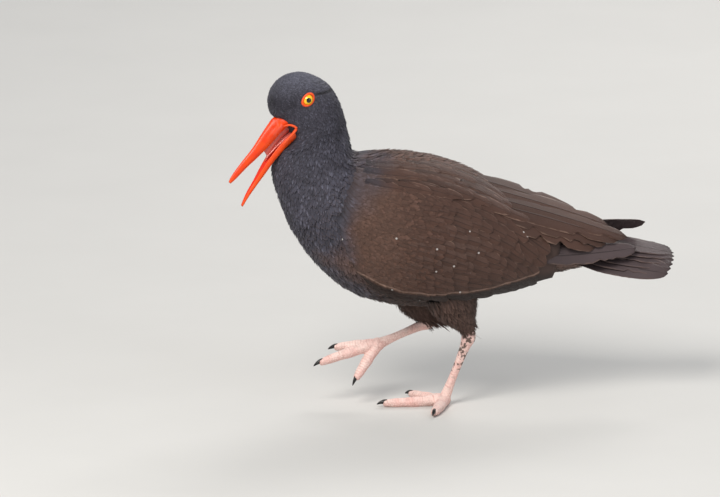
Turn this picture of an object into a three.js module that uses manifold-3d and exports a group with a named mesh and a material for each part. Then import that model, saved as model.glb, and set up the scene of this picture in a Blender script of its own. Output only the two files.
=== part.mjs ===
// A life-size black oystercatcher, walking: it stands on its left leg, the right foot is raised and the bill open.
// Millimetres, +Z up. The bird faces -X and its left side is towards -Y. The origin is on the floor,
// under the joint of the toes of the standing foot.
import * as THREE from "three";
import { mergeVertices } from "three/addons/utils/BufferGeometryUtils.js";
import Module from "manifold-3d";

const wasm = await Module();
wasm.setup();

// Driving dimensions
const GAP = 0.3; // kept between nodes that touch
const NECK_X = -101; // the upright line that the head and neck turn about
const HEAD_YAW = 18; // degrees that the head is turned to its left
const EYE_PLACE = { back: -25, out: 17.2, up: 274.3 };
const EYE_RADIUS = 5.6;
const EYE_RING = { long: 6.1, short: 4.6, thick: 1.1, slant: 40 };
const WING_SHELL = 4.6; // how far the folded wing stands out from the flank
const TAIL_LENGTH = 98;
const TAIL_PAIRS = 6;
const ANKLE = { left: [20, -12, 64], right: [-8, 20, 68] };
const TOE_JOINT = { left: [0, 0, 4.8], right: [-53, 20, 50] };
const TARSUS_RADIUS = 3.6;
const TOE_RADIUS = 4.3;
const PAD_RADIUS = 6;
const CLAW_LENGTH = 8.5;

// The body from the rump to the forehead, as leaning sections: the point on the back, the point underneath,
// both as distance behind the neck's line and height, then the half width and the turn to the left.
const SECTIONS = [
  { back: [239, 147], under: [229, 117], half: 13, yaw: 0 },
  { back: [213, 157.5], under: [202, 112], half: 24, yaw: 0 },
  { back: [183, 170], under: [176, 108], half: 34, yaw: 0 },
  { back: [153, 186.5], under: [149, 100], half: 42, yaw: 0 },
  { back: [123, 205.5], under: [121, 90], half: 48, yaw: 0 },
  { back: [93, 217], under: [89, 86], half: 51, yaw: 0 },
  { back: [63, 222.5], under: [54, 90], half: 51, yaw: 0 },
  { back: [40, 223], under: [21, 101], half: 48, yaw: 0 },
  { back: [27, 223], under: [-8, 125], half: 42, yaw: 0 },
  { back: [23, 225.5], under: [-28, 154], half: 35, yaw: 0 },
  { back: [22, 231], under: [-41, 185], half: 28.5, yaw: 5 },
  { back: [20.5, 238.5], under: [-48, 209], half: 24.5, yaw: 10 },
  { back: [18, 248.5], under: [-45.5, 226], half: 21.5, yaw: 14 },
  { back: [15, 258.5], under: [-37, 234.5], half: 20, yaw: 18 },
  { back: [10.5, 269.5], under: [-33, 238.5], half: 19.5, yaw: 18 },
  { back: [3, 281], under: [-35, 244], half: 19, yaw: 18 },
  { back: [-8, 289.5], under: [-39.5, 250], half: 18, yaw: 18 },
  { back: [-22, 295], under: [-45, 256], half: 16, yaw: 18 },
  { back: [-36, 294.3], under: [-50, 259], half: 13.5, yaw: 18 },
  { back: [-46, 288.5], under: [-52, 262.5], half: 10.5, yaw: 18 },
  { back: [-51.3, 279.5], under: [-53, 267.5], half: 6.5, yaw: 18 },
];
const LAST = SECTIONS.length - 1;

const rad = (degrees) => (degrees * Math.PI) / 180;
const mix = (a, b, t) => a + (b - a) * t;
const smooth = (t) => t * t * (3 - 2 * t);
const clamp = (x, low, high) => Math.min(high, Math.max(low, x));
const vec = (x, y, z) => new THREE.Vector3(x, y, z);

// A point of the head's own upright plane, out to a side, turned with the head.
function headPoint(behind, out, up, yaw = HEAD_YAW) {
  const c = Math.cos(rad(yaw));
  const s = Math.sin(rad(yaw));
  return vec(NECK_X + behind * c - out * s, behind * s + out * c, up);
}

// Catmull-Rom through one value of the sections.
function along(read, t) {
  const i = Math.min(LAST - 1, Math.floor(t));
  const f = t - i;
  const value = (k) => read(SECTIONS[clamp(k, 0, LAST)]);
  const [a, b, c, d] = [value(i - 1), value(i), value(i + 1), value(i + 2)];
  return b + 0.5 * f * (c - a + f * (2 * a - 5 * b + 4 * c - d + f * (3 * (b - c) + d - a)));
}

// A point of the body's skin: t counts the sections, and the angle is measured from the back down the right side.
function skinPoint(t, angle) {
  const bx = along((s) => s.back[0], t);
  const bz = along((s) => s.back[1], t);
  const ux = along((s) => s.under[0], t);
  const uz = along((s) => s.under[1], t);
  const lift = 0.5 + 0.5 * Math.cos(angle);
  return headPoint(
    mix(ux, bx, lift),
    along((s) => s.half, t) * Math.sin(angle),
    mix(uz, bz, lift),
    along((s) => s.yaw, t),
  );
}

function skinNormal(t, angle) {
  const e = 0.02;
  const u = skinPoint(Math.min(LAST, t + e), angle).sub(skinPoint(Math.max(0, t - e), angle));
  const v = skinPoint(t, angle + e).sub(skinPoint(t, angle - e));
  return v.cross(u).normalize();
}

// The skin pushed out along its normal.
function bodyPoint(t, angle, out = 0) {
  return skinPoint(t, angle).addScaledVector(skinNormal(t, angle), out);
}

// A solid from vertices and faces, with the faces that have collapsed left out.
function solid(points, faces) {
  const geometry = new THREE.BufferGeometry();
  geometry.setAttribute("position", new THREE.Float32BufferAttribute(points.flatMap((p) => p.toArray()), 3));
  geometry.setIndex(faces.flat());
  return solidOf(geometry);
}

function solidOf(geometry) {
  geometry.deleteAttribute("normal");
  geometry.deleteAttribute("uv");
  const merged = mergeVertices(geometry, 1e-4);
  const index = Array.from(merged.index.array);
  const kept = [];
  for (let i = 0; i < index.length; i += 3) {
    const [a, b, c] = index.slice(i, i + 3);
    if (a !== b && b !== c && a !== c) kept.push(a, b, c);
  }
  const vertProperties = merged.attributes.position.array;
  const made = new wasm.Manifold(new wasm.Mesh({ numProp: 3, vertProperties, triVerts: new Uint32Array(kept) }));
  if (made.volume() >= 0) return made;
  for (let i = 0; i < kept.length; i += 3) [kept[i + 1], kept[i + 2]] = [kept[i + 2], kept[i + 1]];
  return new wasm.Manifold(new wasm.Mesh({ numProp: 3, vertProperties, triVerts: new Uint32Array(kept) }));
}

// Rings of points joined into a closed tube with a point at each end.
function loft(ringPoint, rings, sides, start, end) {
  const points = [start, end];
  const faces = [];
  const at = (i, j) => 2 + i * sides + (j % sides);
  for (let i = 0; i < rings; i++) {
    for (let j = 0; j < sides; j++) points.push(ringPoint(i / (rings - 1), (j / sides) * 2 * Math.PI));
  }
  for (let j = 0; j < sides; j++) {
    faces.push([0, at(0, j + 1), at(0, j)], [1, at(rings - 1, j), at(rings - 1, j + 1)]);
    for (let i = 0; i < rings - 1; i++) {
      faces.push([at(i, j), at(i, j + 1), at(i + 1, j + 1)], [at(i, j), at(i + 1, j + 1), at(i + 1, j)]);
    }
  }
  return solid(points, faces);
}

// A plate between two sheets that share one grid, with triangles alike on both faces.
function plate(top, under, rows, columns) {
  const points = [];
  const faces = [];
  const at = (side, i, j) => side * (rows + 1) * (columns + 1) + i * (columns + 1) + j;
  for (const sheet of [top, under]) {
    for (let i = 0; i <= rows; i++) {
      for (let j = 0; j <= columns; j++) points.push(sheet(i / rows, j / columns));
    }
  }
  for (let i = 0; i < rows; i++) {
    for (let j = 0; j < columns; j++) {
      const corners = [[i, j], [i, j + 1], [i + 1, j + 1], [i + 1, j]];
      const [a, b, c, d] = corners.map(([r, k]) => at(0, r, k));
      const [e, f, g, h] = corners.map(([r, k]) => at(1, r, k));
      faces.push([a, b, c], [a, c, d], [e, g, f], [e, h, g]);
    }
  }
  const edge = [];
  for (let j = 0; j < columns; j++) edge.push([0, j]);
  for (let i = 0; i < rows; i++) edge.push([i, columns]);
  for (let j = columns; j > 0; j--) edge.push([rows, j]);
  for (let i = rows; i > 0; i--) edge.push([i, 0]);
  edge.forEach(([i, j], k) => {
    const [m, n] = edge[(k + 1) % edge.length];
    faces.push([at(0, i, j), at(1, i, j), at(1, m, n)], [at(0, i, j), at(1, m, n), at(0, m, n)]);
  });
  return solid(points, faces);
}

const join = (solids) => wasm.Manifold.union(solids);

// The largest closed piece of a solid, which drops loose scraps.
function largest(made) {
  return made.decompose().sort((a, b) => b.volume() - a.volume())[0];
}

// A tapered round limb through points, with a radius at each. It can be grown all round for a cut.
function limb(points, radii, sides, flatten = 1, grow = 0) {
  const ends = [points[0].clone().sub(points[1]).setLength(grow), points.at(-1).clone().sub(points.at(-2)).setLength(grow)];
  const path = points.map((p) => p.clone());
  path[0].add(ends[0]);
  path.at(-1).add(ends[1]);
  const curve = new THREE.CatmullRomCurve3(path);
  const rings = (points.length - 1) * 2 + 1;
  const frames = curve.computeFrenetFrames(rings - 1, false);
  const radiusAt = (u) => {
    const k = Math.min(radii.length - 2, Math.floor(u * (radii.length - 1)));
    return mix(radii[k], radii[k + 1], u * (radii.length - 1) - k) + grow;
  };
  const place = (u) => curve.getPoint(u);
  return loft(
    (u, a) => {
      const i = Math.round(u * (rings - 1));
      const side = vec(0, 0, 1).cross(frames.tangents[i]).normalize();
      const up = frames.tangents[i].clone().cross(side).normalize();
      return place(u)
        .addScaledVector(side, Math.cos(a) * radiusAt(u) * flatten)
        .addScaledVector(up, Math.sin(a) * radiusAt(u));
    },
    rings,
    sides,
    place(0),
    place(1),
  );
}

// The trunk, neck and head as one body, and the same body grown by the gap for cutting what lies on it
const BODY_RINGS = 32;
const BODY_SIDES = 18;

function wholeBody(out) {
  const start = skinPoint(0, 0).add(skinPoint(0, Math.PI)).multiplyScalar(0.5).add(vec(2 + out, 0, 0));
  const end = skinPoint(LAST, 0).add(skinPoint(LAST, Math.PI)).multiplyScalar(0.5).add(vec(-1.2 - out, 0, 0));
  return loft((u, a) => bodyPoint(u * LAST, a, out), BODY_RINGS, BODY_SIDES, start, end);
}

const body = wholeBody(0);
const bodyGrown = wholeBody(GAP + 0.1);

// Planes that part the body, each through a point on the back and one underneath, with the neck's turn there.
function cutPlane(t) {
  const top = skinPoint(t, 0);
  const low = skinPoint(t, Math.PI);
  const side = skinPoint(t, Math.PI / 2).sub(skinPoint(t, -Math.PI / 2)).normalize();
  const normal = top.clone().sub(low).cross(side).normalize();
  if (normal.x > 0) normal.negate();
  return { normal, offset: normal.dot(top) };
}

function ahead(made, plane) {
  return made.trimByPlane(plane.normal.toArray(), plane.offset + GAP / 2);
}

function behind(made, plane) {
  return made.trimByPlane(plane.normal.clone().negate().toArray(), -plane.offset + GAP / 2);
}

const TORSO_TO_NECK = cutPlane(8.7);
const NECK_TO_HEAD = cutPlane(12.6);
const torsoBlank = behind(body, TORSO_TO_NECK);
const neckBlank = largest(behind(ahead(body, TORSO_TO_NECK), NECK_TO_HEAD));
const headBlank = largest(ahead(body, NECK_TO_HEAD));

// Bill: sections of each half in the head's upright plane, as the ridge's place, the cutting edge's place (both
// distance behind the neck's line and height) and the half width
const BILL_UPPER = [
  [-40, 261.5, -30, 250.5, 7.2],
  [-49, 258, -38, 248, 6.2],
  [-54, 253, -46, 241.5, 5.2],
  [-60.6, 244.8, -53.2, 234.8, 4.2],
  [-69.5, 233.3, -63.3, 226.6, 3.3],
  [-79.7, 222.7, -75, 217.8, 2.4],
  [-88.3, 213, -84.8, 209.6, 1.7],
  [-91.2, 208, -89.8, 206.2, 1.2],
];
const BILL_LOWER = [
  [-29, 249.8, -25, 240, 7.2],
  [-35, 247, -32.5, 235.5, 6.2],
  [-45.5, 238.5, -41, 228.5, 5.2],
  [-54, 228.5, -49, 221, 4.4],
  [-61.5, 217.5, -56.5, 212, 3.6],
  [-68, 206.3, -64.6, 202.8, 2.7],
  [-75, 195.7, -72.3, 193.5, 1.9],
  [-79.5, 186.7, -78.4, 185, 1.2],
];

function tableAt(table, t, column) {
  const last = table.length - 1;
  const i = Math.min(last - 1, Math.floor(t));
  const f = t - i;
  const [a, b, c, d] = [i - 1, i, i + 1, i + 2].map((k) => table[clamp(k, 0, last)][column]);
  return b + 0.5 * f * (c - a + f * (2 * a - 5 * b + 4 * c - d + f * (3 * (b - c) + d - a)));
}

// The angle runs round each section from the ridge; the lower half is hollowed along its top.
function billHalf(table, lower, grow = 0) {
  const last = table.length - 1;
  const spot = (u, a) => {
    const [rx, rz, ex, ez, half] = [0, 1, 2, 3, 4].map((column) => tableAt(table, u * last, column));
    let lift = 0.5 + 0.5 * Math.cos(a);
    let wide = (half + grow) * Math.sin(a);
    const turn = Math.abs(a > Math.PI ? a - 2 * Math.PI : a);
    if (lower && !grow) lift -= 0.6 * Math.exp(-Math.pow(turn / 0.75, 4)) * smooth(clamp((0.78 - u) / 0.5, 0, 1));
    if (!lower) wide *= 1 - 0.22 * Math.max(0, Math.cos(a));
    const level = lift + (grow / 8) * (lift > 0.5 ? 1 : -1);
    return headPoint(mix(ex, rx, level), wide, mix(ez, rz, level));
  };
  const middle = (k) => headPoint((table[k][0] + table[k][2]) / 2, 0, (table[k][1] + table[k][3]) / 2 - (lower && k === 0 ? 2 : 0));
  return loft(spot, 10, 12, middle(0), middle(last).add(vec(-0.3, 0, -0.5)));
}

function tongueSolid() {
  const spot = (u, a) => {
    const radius = mix(2.4, 1, u);
    const place = [mix(-31, -58, u), mix(242.3, 221.8, u) + 1.5 * Math.sin(Math.PI * u)];
    return headPoint(place[0] - 0.6 * radius * Math.cos(a), radius * 1.05 * Math.sin(a), place[1] + 0.55 * radius * Math.cos(a));
  };
  return loft(spot, 8, 8, headPoint(-30, 0, 243), headPoint(-58.8, 0, 221));
}

function nostril(side) {
  const made = new THREE.SphereGeometry(1, 8, 5);
  made.scale(0.9, 0.9, 5);
  const turned = new THREE.Matrix4().makeRotationY(rad(48));
  const place = headPoint(-52.5, side * 4.3, 246.5);
  made.applyMatrix4(turned).applyMatrix4(new THREE.Matrix4().makeRotationZ(rad(HEAD_YAW)));
  made.translate(place.x, place.y, place.z);
  return solidOf(made);
}

// The eye, and the fleshy ring of its lids
function ball(radius, place, squash = 1) {
  const made = new THREE.SphereGeometry(radius, 11, 7);
  made.scale(1, squash, 1);
  made.rotateZ(rad(HEAD_YAW));
  made.translate(place.x, place.y, place.z);
  return solidOf(made);
}

function eyePlace(side) {
  return headPoint(EYE_PLACE.back, side * (EYE_PLACE.out - 2.4), EYE_PLACE.up);
}

// The oval ring of the lids slants up and back.
function eyeRing(side) {
  const { long, short, thick, slant } = EYE_RING;
  const made = new THREE.TorusGeometry(short, thick, 5, 12);
  made.scale(long / short, 1, 1);
  made.rotateZ(rad(slant));
  made.rotateX(Math.PI / 2);
  made.rotateZ(rad(HEAD_YAW - side * 6));
  const place = headPoint(EYE_PLACE.back, side * (EYE_PLACE.out + 0.3), EYE_PLACE.up);
  made.translate(place.x, place.y, place.z);
  return solidOf(made);
}

// The folded wing. Its shell lies over the flank; the angle runs from the wing's upper edge to its lower edge.
const WING_FRONT = 8.2;
const WING_REAR = 1.5;
const wingTop = (t) => rad(mix(62, 40, smooth(clamp((t - 2) / 5, 0, 1))));
const WING_LOW = [[1.5, 143], [2.3, 150], [3, 147], [4, 138], [5, 135], [6, 136], [6.6, 129], [7.2, 118], [7.7, 106], [8.2, 92]];

function wingLow(t) {
  const i = clamp(WING_LOW.findIndex(([at]) => at > t), 1, WING_LOW.length - 1);
  const [[t0, a0], [t1, a1]] = [WING_LOW[i - 1], WING_LOW[i]];
  return rad(mix(a0, a1, clamp((t - t0) / (t1 - t0), 0, 1)));
}

function wingRise(t, angle) {
  const a = clamp((t - WING_REAR) / (WING_FRONT - WING_REAR), 0, 1);
  const b = clamp((angle - wingTop(t)) / (wingLow(t) - wingTop(t)), 0, 1);
  const edge = Math.min(1, 5 * b) * Math.min(1, 7 * (1 - a));
  return WING_SHELL * (0.25 + 0.75 * smooth(clamp(edge, 0, 1))) * mix(0.75, 1.25, b);
}

function wingShell(side, grow) {
  const spot = (a, b) => {
    const t = mix(WING_REAR, WING_FRONT - 0.9 * Math.pow(Math.abs(2 * b - 0.9), 2.2), a) + (a - 0.5) * 0.1 * grow;
    return [t, mix(wingTop(t), wingLow(t), b) + (b - 0.5) * 0.08 * grow];
  };
  const sheet = (rise) => (a, b) => {
    const [t, angle] = spot(a, b);
    return bodyPoint(t, side * angle, rise(t, angle));
  };
  return plate(sheet((t, angle) => GAP + wingRise(t, angle) + grow), sheet(() => GAP + 0.5 - grow), 10, 6);
}

// A feather as a thin tapered plate from a root, through a bend, to a tip. The two outward directions are those of
// its face at the root and at the tip.
function vane({ root, bend, tip, faceRoot, faceTip, half, grow = 0, thickness = 1.5, blunt = 0.45, rows = 4, columns = 2, camber = 0.1 }) {
  const curve = new THREE.QuadraticBezierCurve3(root, bend, tip);
  const sheet = (level) => (u, v) => {
    const w = 2 * v - 1;
    const s = u;
    const centre = curve.getPoint(s);
    const forward = curve.getTangent(s);
    const face = faceRoot.clone().lerp(faceTip, s);
    face.addScaledVector(forward, -face.dot(forward)).normalize();
    const across = forward.clone().cross(face).normalize();
    const shape = mix(0.55, 1, smooth(clamp(s / 0.4, 0, 1))) * Math.pow(1 - Math.pow(s, 5), blunt) + 0.06;
    const wide = half * shape + grow;
    const thin = thickness * mix(1, 0.55, s) * mix(1, 0.5, Math.abs(w)) + 2 * grow;
    return centre
      .addScaledVector(forward, s === 0 ? -grow : s === 1 ? grow * 1.5 : 0)
      .addScaledVector(across, w * wide)
      .addScaledVector(face, level * 0.5 * thin - camber * wide * w * w);
  };
  return plate(sheet(1), sheet(-1), rows, columns);
}

// A feather that lies on the body between two spots, each a section count and an angle.
function lyingVane(side, from, to, half, rise, extra = {}) {
  const spot = (f) => {
    const t = mix(from[0], to[0], f);
    const angle = mix(from[1], to[1], f);
    return bodyPoint(t, side * rad(angle), rise(t, rad(angle), f));
  };
  const face = (f) => skinNormal(mix(from[0], to[0], f), side * rad(mix(from[1], to[1], f)));
  const middle = spot(0.5);
  const root = spot(0);
  const tip = spot(1);
  const bend = middle.multiplyScalar(2).addScaledVector(root, -0.5).addScaledVector(tip, -0.5);
  return vane({ root, bend, tip, faceRoot: face(0), faceTip: face(1), half, rows: 3, ...extra });
}

// Where the tip of each folded wing lies: the right wing is carried higher than the left one.
const WING_TIP = {
  "-1": { x: 161, y: 15, z: 133, rise: 8, set: -2, short: 0 },
  "1": { x: 174, y: 13, z: 148, rise: 0, set: -5, short: 10 },
};

function primaries(side, grow) {
  const end = WING_TIP[side];
  const vanes = [];
  const count = 5;
  for (let i = 0; i < count; i++) {
    const k = i / (count - 1);
    const root = vec(66 + 6 * k, side * (36 - 3 * k), 134 + 8 * k);
    const tip = vec(end.x - 48 * Math.pow(k, 1.1), side * (end.y + 4 * k), end.z + end.rise * k);
    const bend = vec(mix(root.x, tip.x, 0.55), side * mix(33, 27, k), mix(root.z, tip.z, 0.5) - 1);
    vanes.push(vane({ root, bend, tip, faceRoot: vec(0.12, side, 0.3), faceTip: vec(0.1, side, 0.8), half: 8.5, grow }));
  }
  return vanes;
}

// Long inner feathers: root, tip, and how far out the middle lies
const TERTIALS = [
  [[34, 37, 172], [124, 25, 139], 39],
  [[30, 34, 178], [134, 21, 141], 36],
  [[26, 30, 184], [146, 16, 142.5], 31],
  [[22, 26, 190], [154, 12, 143.5], 25],
  [[17, 20, 197], [138, 11, 154], 19],
  [[12, 15, 203], [112, 10.5, 166], 14],
];

function tertials(side, grow) {
  const { set, short } = WING_TIP[side];
  return TERTIALS.map(([from, to, out], i) => {
    const k = i / (TERTIALS.length - 1);
    const root = vec(from[0], side * from[1], from[2] + set * 0.5);
    const tip = vec(to[0] - short, side * to[1], to[2] + set);
    const bend = vec(mix(root.x, tip.x, 0.5), side * out, mix(root.z, tip.z, 0.5) + 4.5);
    const faceRoot = vec(0.15, side, mix(0.9, 1.9, k));
    return vane({ root, bend, tip, faceRoot, faceTip: vec(0.1, side, mix(0.9, 1.5, k)), half: 9.5, grow });
  });
}

// Two rows of coverts that run down and back over the folded secondaries, and the secondaries' own edge
function wingVanes(side, grow) {
  const vanes = [];
  const tier = (count, from, to, drop, reach, half, start, out) => {
    for (let i = 0; i < count; i++) {
      const k = i / (count - 1);
      const t = mix(from, to, k);
      const a = mix(start[0], start[1], k);
      const rise = (tt, angle, f) => GAP + wingRise(tt, angle) + out * f - 0.2;
      vanes.push(lyingVane(side, [t, a], [t - reach, a + drop], half, rise, { grow }));
    }
  };
  tier(5, 6.8, 4.1, 22, 1.4, 11.5, [84, 80], 0.9);
  tier(6, 6.5, 3.2, 24, 1.65, 12.5, [102, 106], 1.5);
  return vanes;
}

function scapulars(side, grow) {
  const vanes = [];
  const tier = (count, from, to, reach, half, start, drift, level) => {
    for (let i = 0; i < count; i++) {
      const k = i / (count - 1);
      const t = mix(from, to, k);
      const a = mix(start[0], start[1], k);
      const rise = (tt, angle, f) => GAP + wingRise(tt, Math.max(angle, wingTop(tt))) * clamp((angle - wingTop(tt) + 0.15) / 0.3, 0, 1) + level + 1.2 * f;
      vanes.push(lyingVane(side, [t, a], [t - reach[0] - k * reach[1], a + drift], half, rise, { grow }));
    }
  };
  tier(3, 6.3, 4.6, [1.8, 0.4], 10, [43, 42], 9, 0.9);
  tier(3, 6.5, 4.9, [1.8, 0.5], 10, [29, 27], 10, 1.6);
  tier(2, 6.5, 5.3, [1.8, 0.5], 9.5, [15, 14], 8, 2.2);
  return vanes;
}

// The tail: pairs of feathers from the middle one, which lies on top, to the outer one, which droops
function tailVanes(grow) {
  const vanes = [];
  for (let i = 0; i < TAIL_PAIRS; i++) {
    for (const side of [-1, 1]) {
      const k = i / (TAIL_PAIRS - 1);
      const root = vec(100, side * (1.5 + 7 * k), 145 - 8 * k - 0.9 * i + side * 6 * k);
      const tipX = 97 + TAIL_LENGTH - 9 * k * k;
      const tip = vec(tipX, side * (4.5 + 22 * k), 124.5 - 3.2 * Math.pow(k, 2.2) - 0.5 * i + side * 6.5 * k);
      const bend = vec(mix(root.x, tip.x, 0.5), mix(root.y, tip.y, 0.5), mix(root.z, tip.z, 0.5) + 1.5 - 2 * k);
      const faceTip = vec(0.15, side * 1.1 * Math.pow(k, 1.6) - 0.35, 1);
      vanes.push(vane({ root, bend, tip, faceRoot: vec(0.15, -0.3, 1), faceTip, half: 10.5, blunt: 0.6, camber: 0, rows: 3, columns: 1, grow }));
    }
  }
  return vanes;
}

// Legs
const THIGH = {
  left: { hip: [0, -20, 108], knee: [10, -16, 86], width: [27, 20, 6] },
  right: { hip: [-22, 22, 108], knee: [-16, 21, 84], width: [27, 19, 9] },
};

function thigh(word) {
  const { hip, knee, width } = THIGH[word];
  const ankle = vec(...ANKLE[word]).add(vec(-1, 0, 4.5));
  return limb([vec(...hip), vec(...knee), ankle], width, 16, 0.75);
}

function tarsus(word, grow = 0) {
  const ankle = vec(...ANKLE[word]);
  const foot = vec(...TOE_JOINT[word]);
  const at = (f) => ankle.clone().lerp(foot, f);
  const knob = at(-0.06);
  const r = TARSUS_RADIUS;
  return limb([knob, at(0.06), at(0.3), at(0.62), at(0.9)], [r * 0.9, r * 1.75, r * 1.05, r, r * 1.35], 12, 0.82, grow);
}

// Each toe: its direction seen from above, in degrees from straight ahead towards the bird's left, its length
// without the claw, and for the raised foot how far it points below the level.
const TOES = {
  left: {
    outer: { turn: 68, reach: 41, dip: 0 },
    middle: { turn: -2, reach: 51, dip: 0 },
    inner: { turn: -52, reach: 38, dip: 0 },
  },
  right: {
    outer: { turn: -14, reach: 36, dip: 2 },
    middle: { turn: 5, reach: 51, dip: 11 },
    inner: { turn: 32, reach: 34, dip: 44 },
  },
};

function toeWay(word, name) {
  const { turn, dip } = TOES[word][name];
  const level = Math.cos(rad(dip));
  return vec(-Math.cos(rad(turn)) * level, -Math.sin(rad(turn)) * level, -Math.sin(rad(dip)));
}

function toeLine(word, name) {
  const start = vec(...TOE_JOINT[word]);
  const { reach } = TOES[word][name];
  const way = toeWay(word, name);
  return [0, 0.35, 0.7, 1].map((f) => {
    const p = start.clone().addScaledVector(way, reach * f);
    const drop = (TOE_RADIUS * 0.8 - start.z) * smooth(Math.min(1, f * 2.2));
    p.z += word === "left" ? drop : -0.06 * reach * f * f;
    return p;
  });
}

function toe(word, name, from = 0.2) {
  const line = toeLine(word, name);
  const curve = new THREE.CatmullRomCurve3(line);
  const points = [from, mix(from, 1, 0.33), mix(from, 1, 0.67), 1].map((u) => curve.getPoint(u));
  const r = TOE_RADIUS;
  return limb(points, [r * 1.05, r * 1.05, r * 0.95, r * 0.62], 8, 1.12);
}

function claw(word, name, grow = 0) {
  const line = toeLine(word, name);
  const way = line[3].clone().sub(line[2]).normalize();
  const start = line[3].clone().addScaledVector(way, -2.5).add(vec(0, 0, 1.4));
  const middle = start.clone().addScaledVector(way, CLAW_LENGTH * 0.55).add(vec(0, 0, 0.4));
  const end = start.clone().addScaledVector(way, CLAW_LENGTH).add(vec(0, 0, -2.2));
  return limb([start, middle, end], [2.1, 1.6, 0.35], 7, 0.85, grow);
}

// The web is a thin sheet between two toes, out to a share of their length.
function web(word, one, other, share, share2 = share) {
  const a = new THREE.CatmullRomCurve3(toeLine(word, one));
  const b = new THREE.CatmullRomCurve3(toeLine(word, other));
  const sheet = (level) => (u, v) => {
    const pull = 1 - 0.45 * Math.sin(Math.PI * v);
    const p = a.getPoint(u * share * pull).lerp(b.getPoint(u * share2 * pull), v);
    p.z += level * 0.9;
    return p;
  };
  return plate(sheet(1), sheet(-1), 3, 4);
}

// Everything below the floor is cut off, so that the standing foot rests on flats at one level.
const FLOOR_CUT = 0;
const onFloor = (made) => made.trimByPlane([0, 0, 1], FLOOR_CUT);

// Materials
const material = (color, roughness) => new THREE.MeshStandardMaterial({ color, roughness, metalness: 0 });
const SLATE = material(0x34343a, 0.8);
const BROWN = material(0x4a3a33, 0.75);
const TAIL_BROWN = material(0x453a38, 0.7);
const BILL_RED = material(0xf04818, 0.4);
const TONGUE_PINK = material(0xc0485a, 0.4);
const IRIS_YELLOW = material(0xf2b418, 0.15);
const LID_ORANGE = material(0xf05a1c, 0.4);
const SKIN_PINK = material(0xe8b4a4, 0.6);
const CLAW_BLACK = material(0x1c1a1a, 0.4);

const bird = new THREE.Group();

function geometryOf(made) {
  const mesh = made.getMesh();
  const geometry = new THREE.BufferGeometry();
  const n = mesh.numProp;
  const place = new Float32Array(mesh.numVert * 3);
  for (let i = 0; i < mesh.numVert; i++) place.set(mesh.vertProperties.subarray(i * n, i * n + 3), i * 3);
  geometry.setAttribute("position", new THREE.BufferAttribute(place, 3));
  geometry.setIndex(new THREE.BufferAttribute(mesh.triVerts, 1));
  return geometry;
}

function add(name, made, finish, tolerance = 0.02) {
  const settled = largest(solidOf(geometryOf(largest(made.simplify(tolerance)))));
  const geometry = geometryOf(settled);
  geometry.computeVertexNormals();
  const node = new THREE.Mesh(geometry, finish);
  node.name = name;
  bird.add(node);
}

const SIDES = { left: -1, right: 1 };

// Body, neck and head
const headGrown = bodyGrown;
let head = headBlank;
for (const side of [-1, 1]) head = head.subtract(ball(EYE_RADIUS + GAP, eyePlace(side)));
add("neck", neckBlank, SLATE);
add("torso", torsoBlank, BROWN);

// Bill
const nostrils = join([nostril(-1), nostril(1)]);
const upper = largest(billHalf(BILL_UPPER, false).subtract(headGrown).subtract(nostrils));
const lower = largest(billHalf(BILL_LOWER, true).subtract(headGrown).subtract(billHalf(BILL_UPPER, false, GAP + 0.1)));
add("bill_upper", upper, BILL_RED);
add("bill_lower", lower, BILL_RED);
const offLower = headPoint(-0.3, 0, 0.3).sub(headPoint(0, 0, 0));
const lowerCut = join([lower, lower.translate(offLower.toArray())]);
add("tongue", largest(tongueSolid().subtract(headGrown).subtract(lowerCut)), TONGUE_PINK);

// Eyes
for (const [word, side] of Object.entries(SIDES)) {
  const eye = ball(EYE_RADIUS, eyePlace(side));
  add("eye_" + word, eye, IRIS_YELLOW);
  const ring = eyeRing(side).subtract(ball(EYE_RADIUS + GAP, eyePlace(side))).subtract(headGrown);
  add("eye_ring_" + word, largest(ring), LID_ORANGE);
}
add("head", largest(head), SLATE);

// Wings, shoulder feathers and tail. Each of them is cut clear of what lies above it by the gap.
const clear = (made, others) => largest(others.reduce((left, other) => left.subtract(other), made));
const CUT = GAP / 2 + 0.2;
const FEATHER_TOLERANCE = 0.06;
const fuse = (vanes) => join(vanes).simplify(0.12);
const tail = clear(fuse(tailVanes(0)), [bodyGrown]);
add("tail", tail, TAIL_BROWN, FEATHER_TOLERANCE);
const tailCut = fuse(tailVanes(CUT));
const wingCut = {};
for (const [word, side] of Object.entries(SIDES)) {
  const cover = (grow) => fuse([wingShell(side, grow), ...wingVanes(side, grow)]);
  const shoulder = (grow) => fuse(scapulars(side, grow));
  const inner = (grow, which = side) => fuse(tertials(which, grow));
  const coverCut = cover(CUT);
  wingCut[word] = coverCut;
  const shoulderCut = shoulder(CUT);
  const innerCut = inner(CUT);
  const middle = word === "left" ? [] : [inner(CUT, -side)];
  add("wing_" + word, clear(cover(0), [bodyGrown]), BROWN, FEATHER_TOLERANCE);
  add("scapulars_" + word, clear(shoulder(0), [bodyGrown, coverCut]), BROWN, FEATHER_TOLERANCE);
  add("tertials_" + word, clear(inner(0), [bodyGrown, coverCut, shoulderCut, tailCut, ...middle]), BROWN, FEATHER_TOLERANCE);
  add("primaries_" + word, clear(fuse(primaries(side, 0)), [bodyGrown, coverCut, shoulderCut, innerCut, tailCut]), TAIL_BROWN, FEATHER_TOLERANCE);
}

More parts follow.
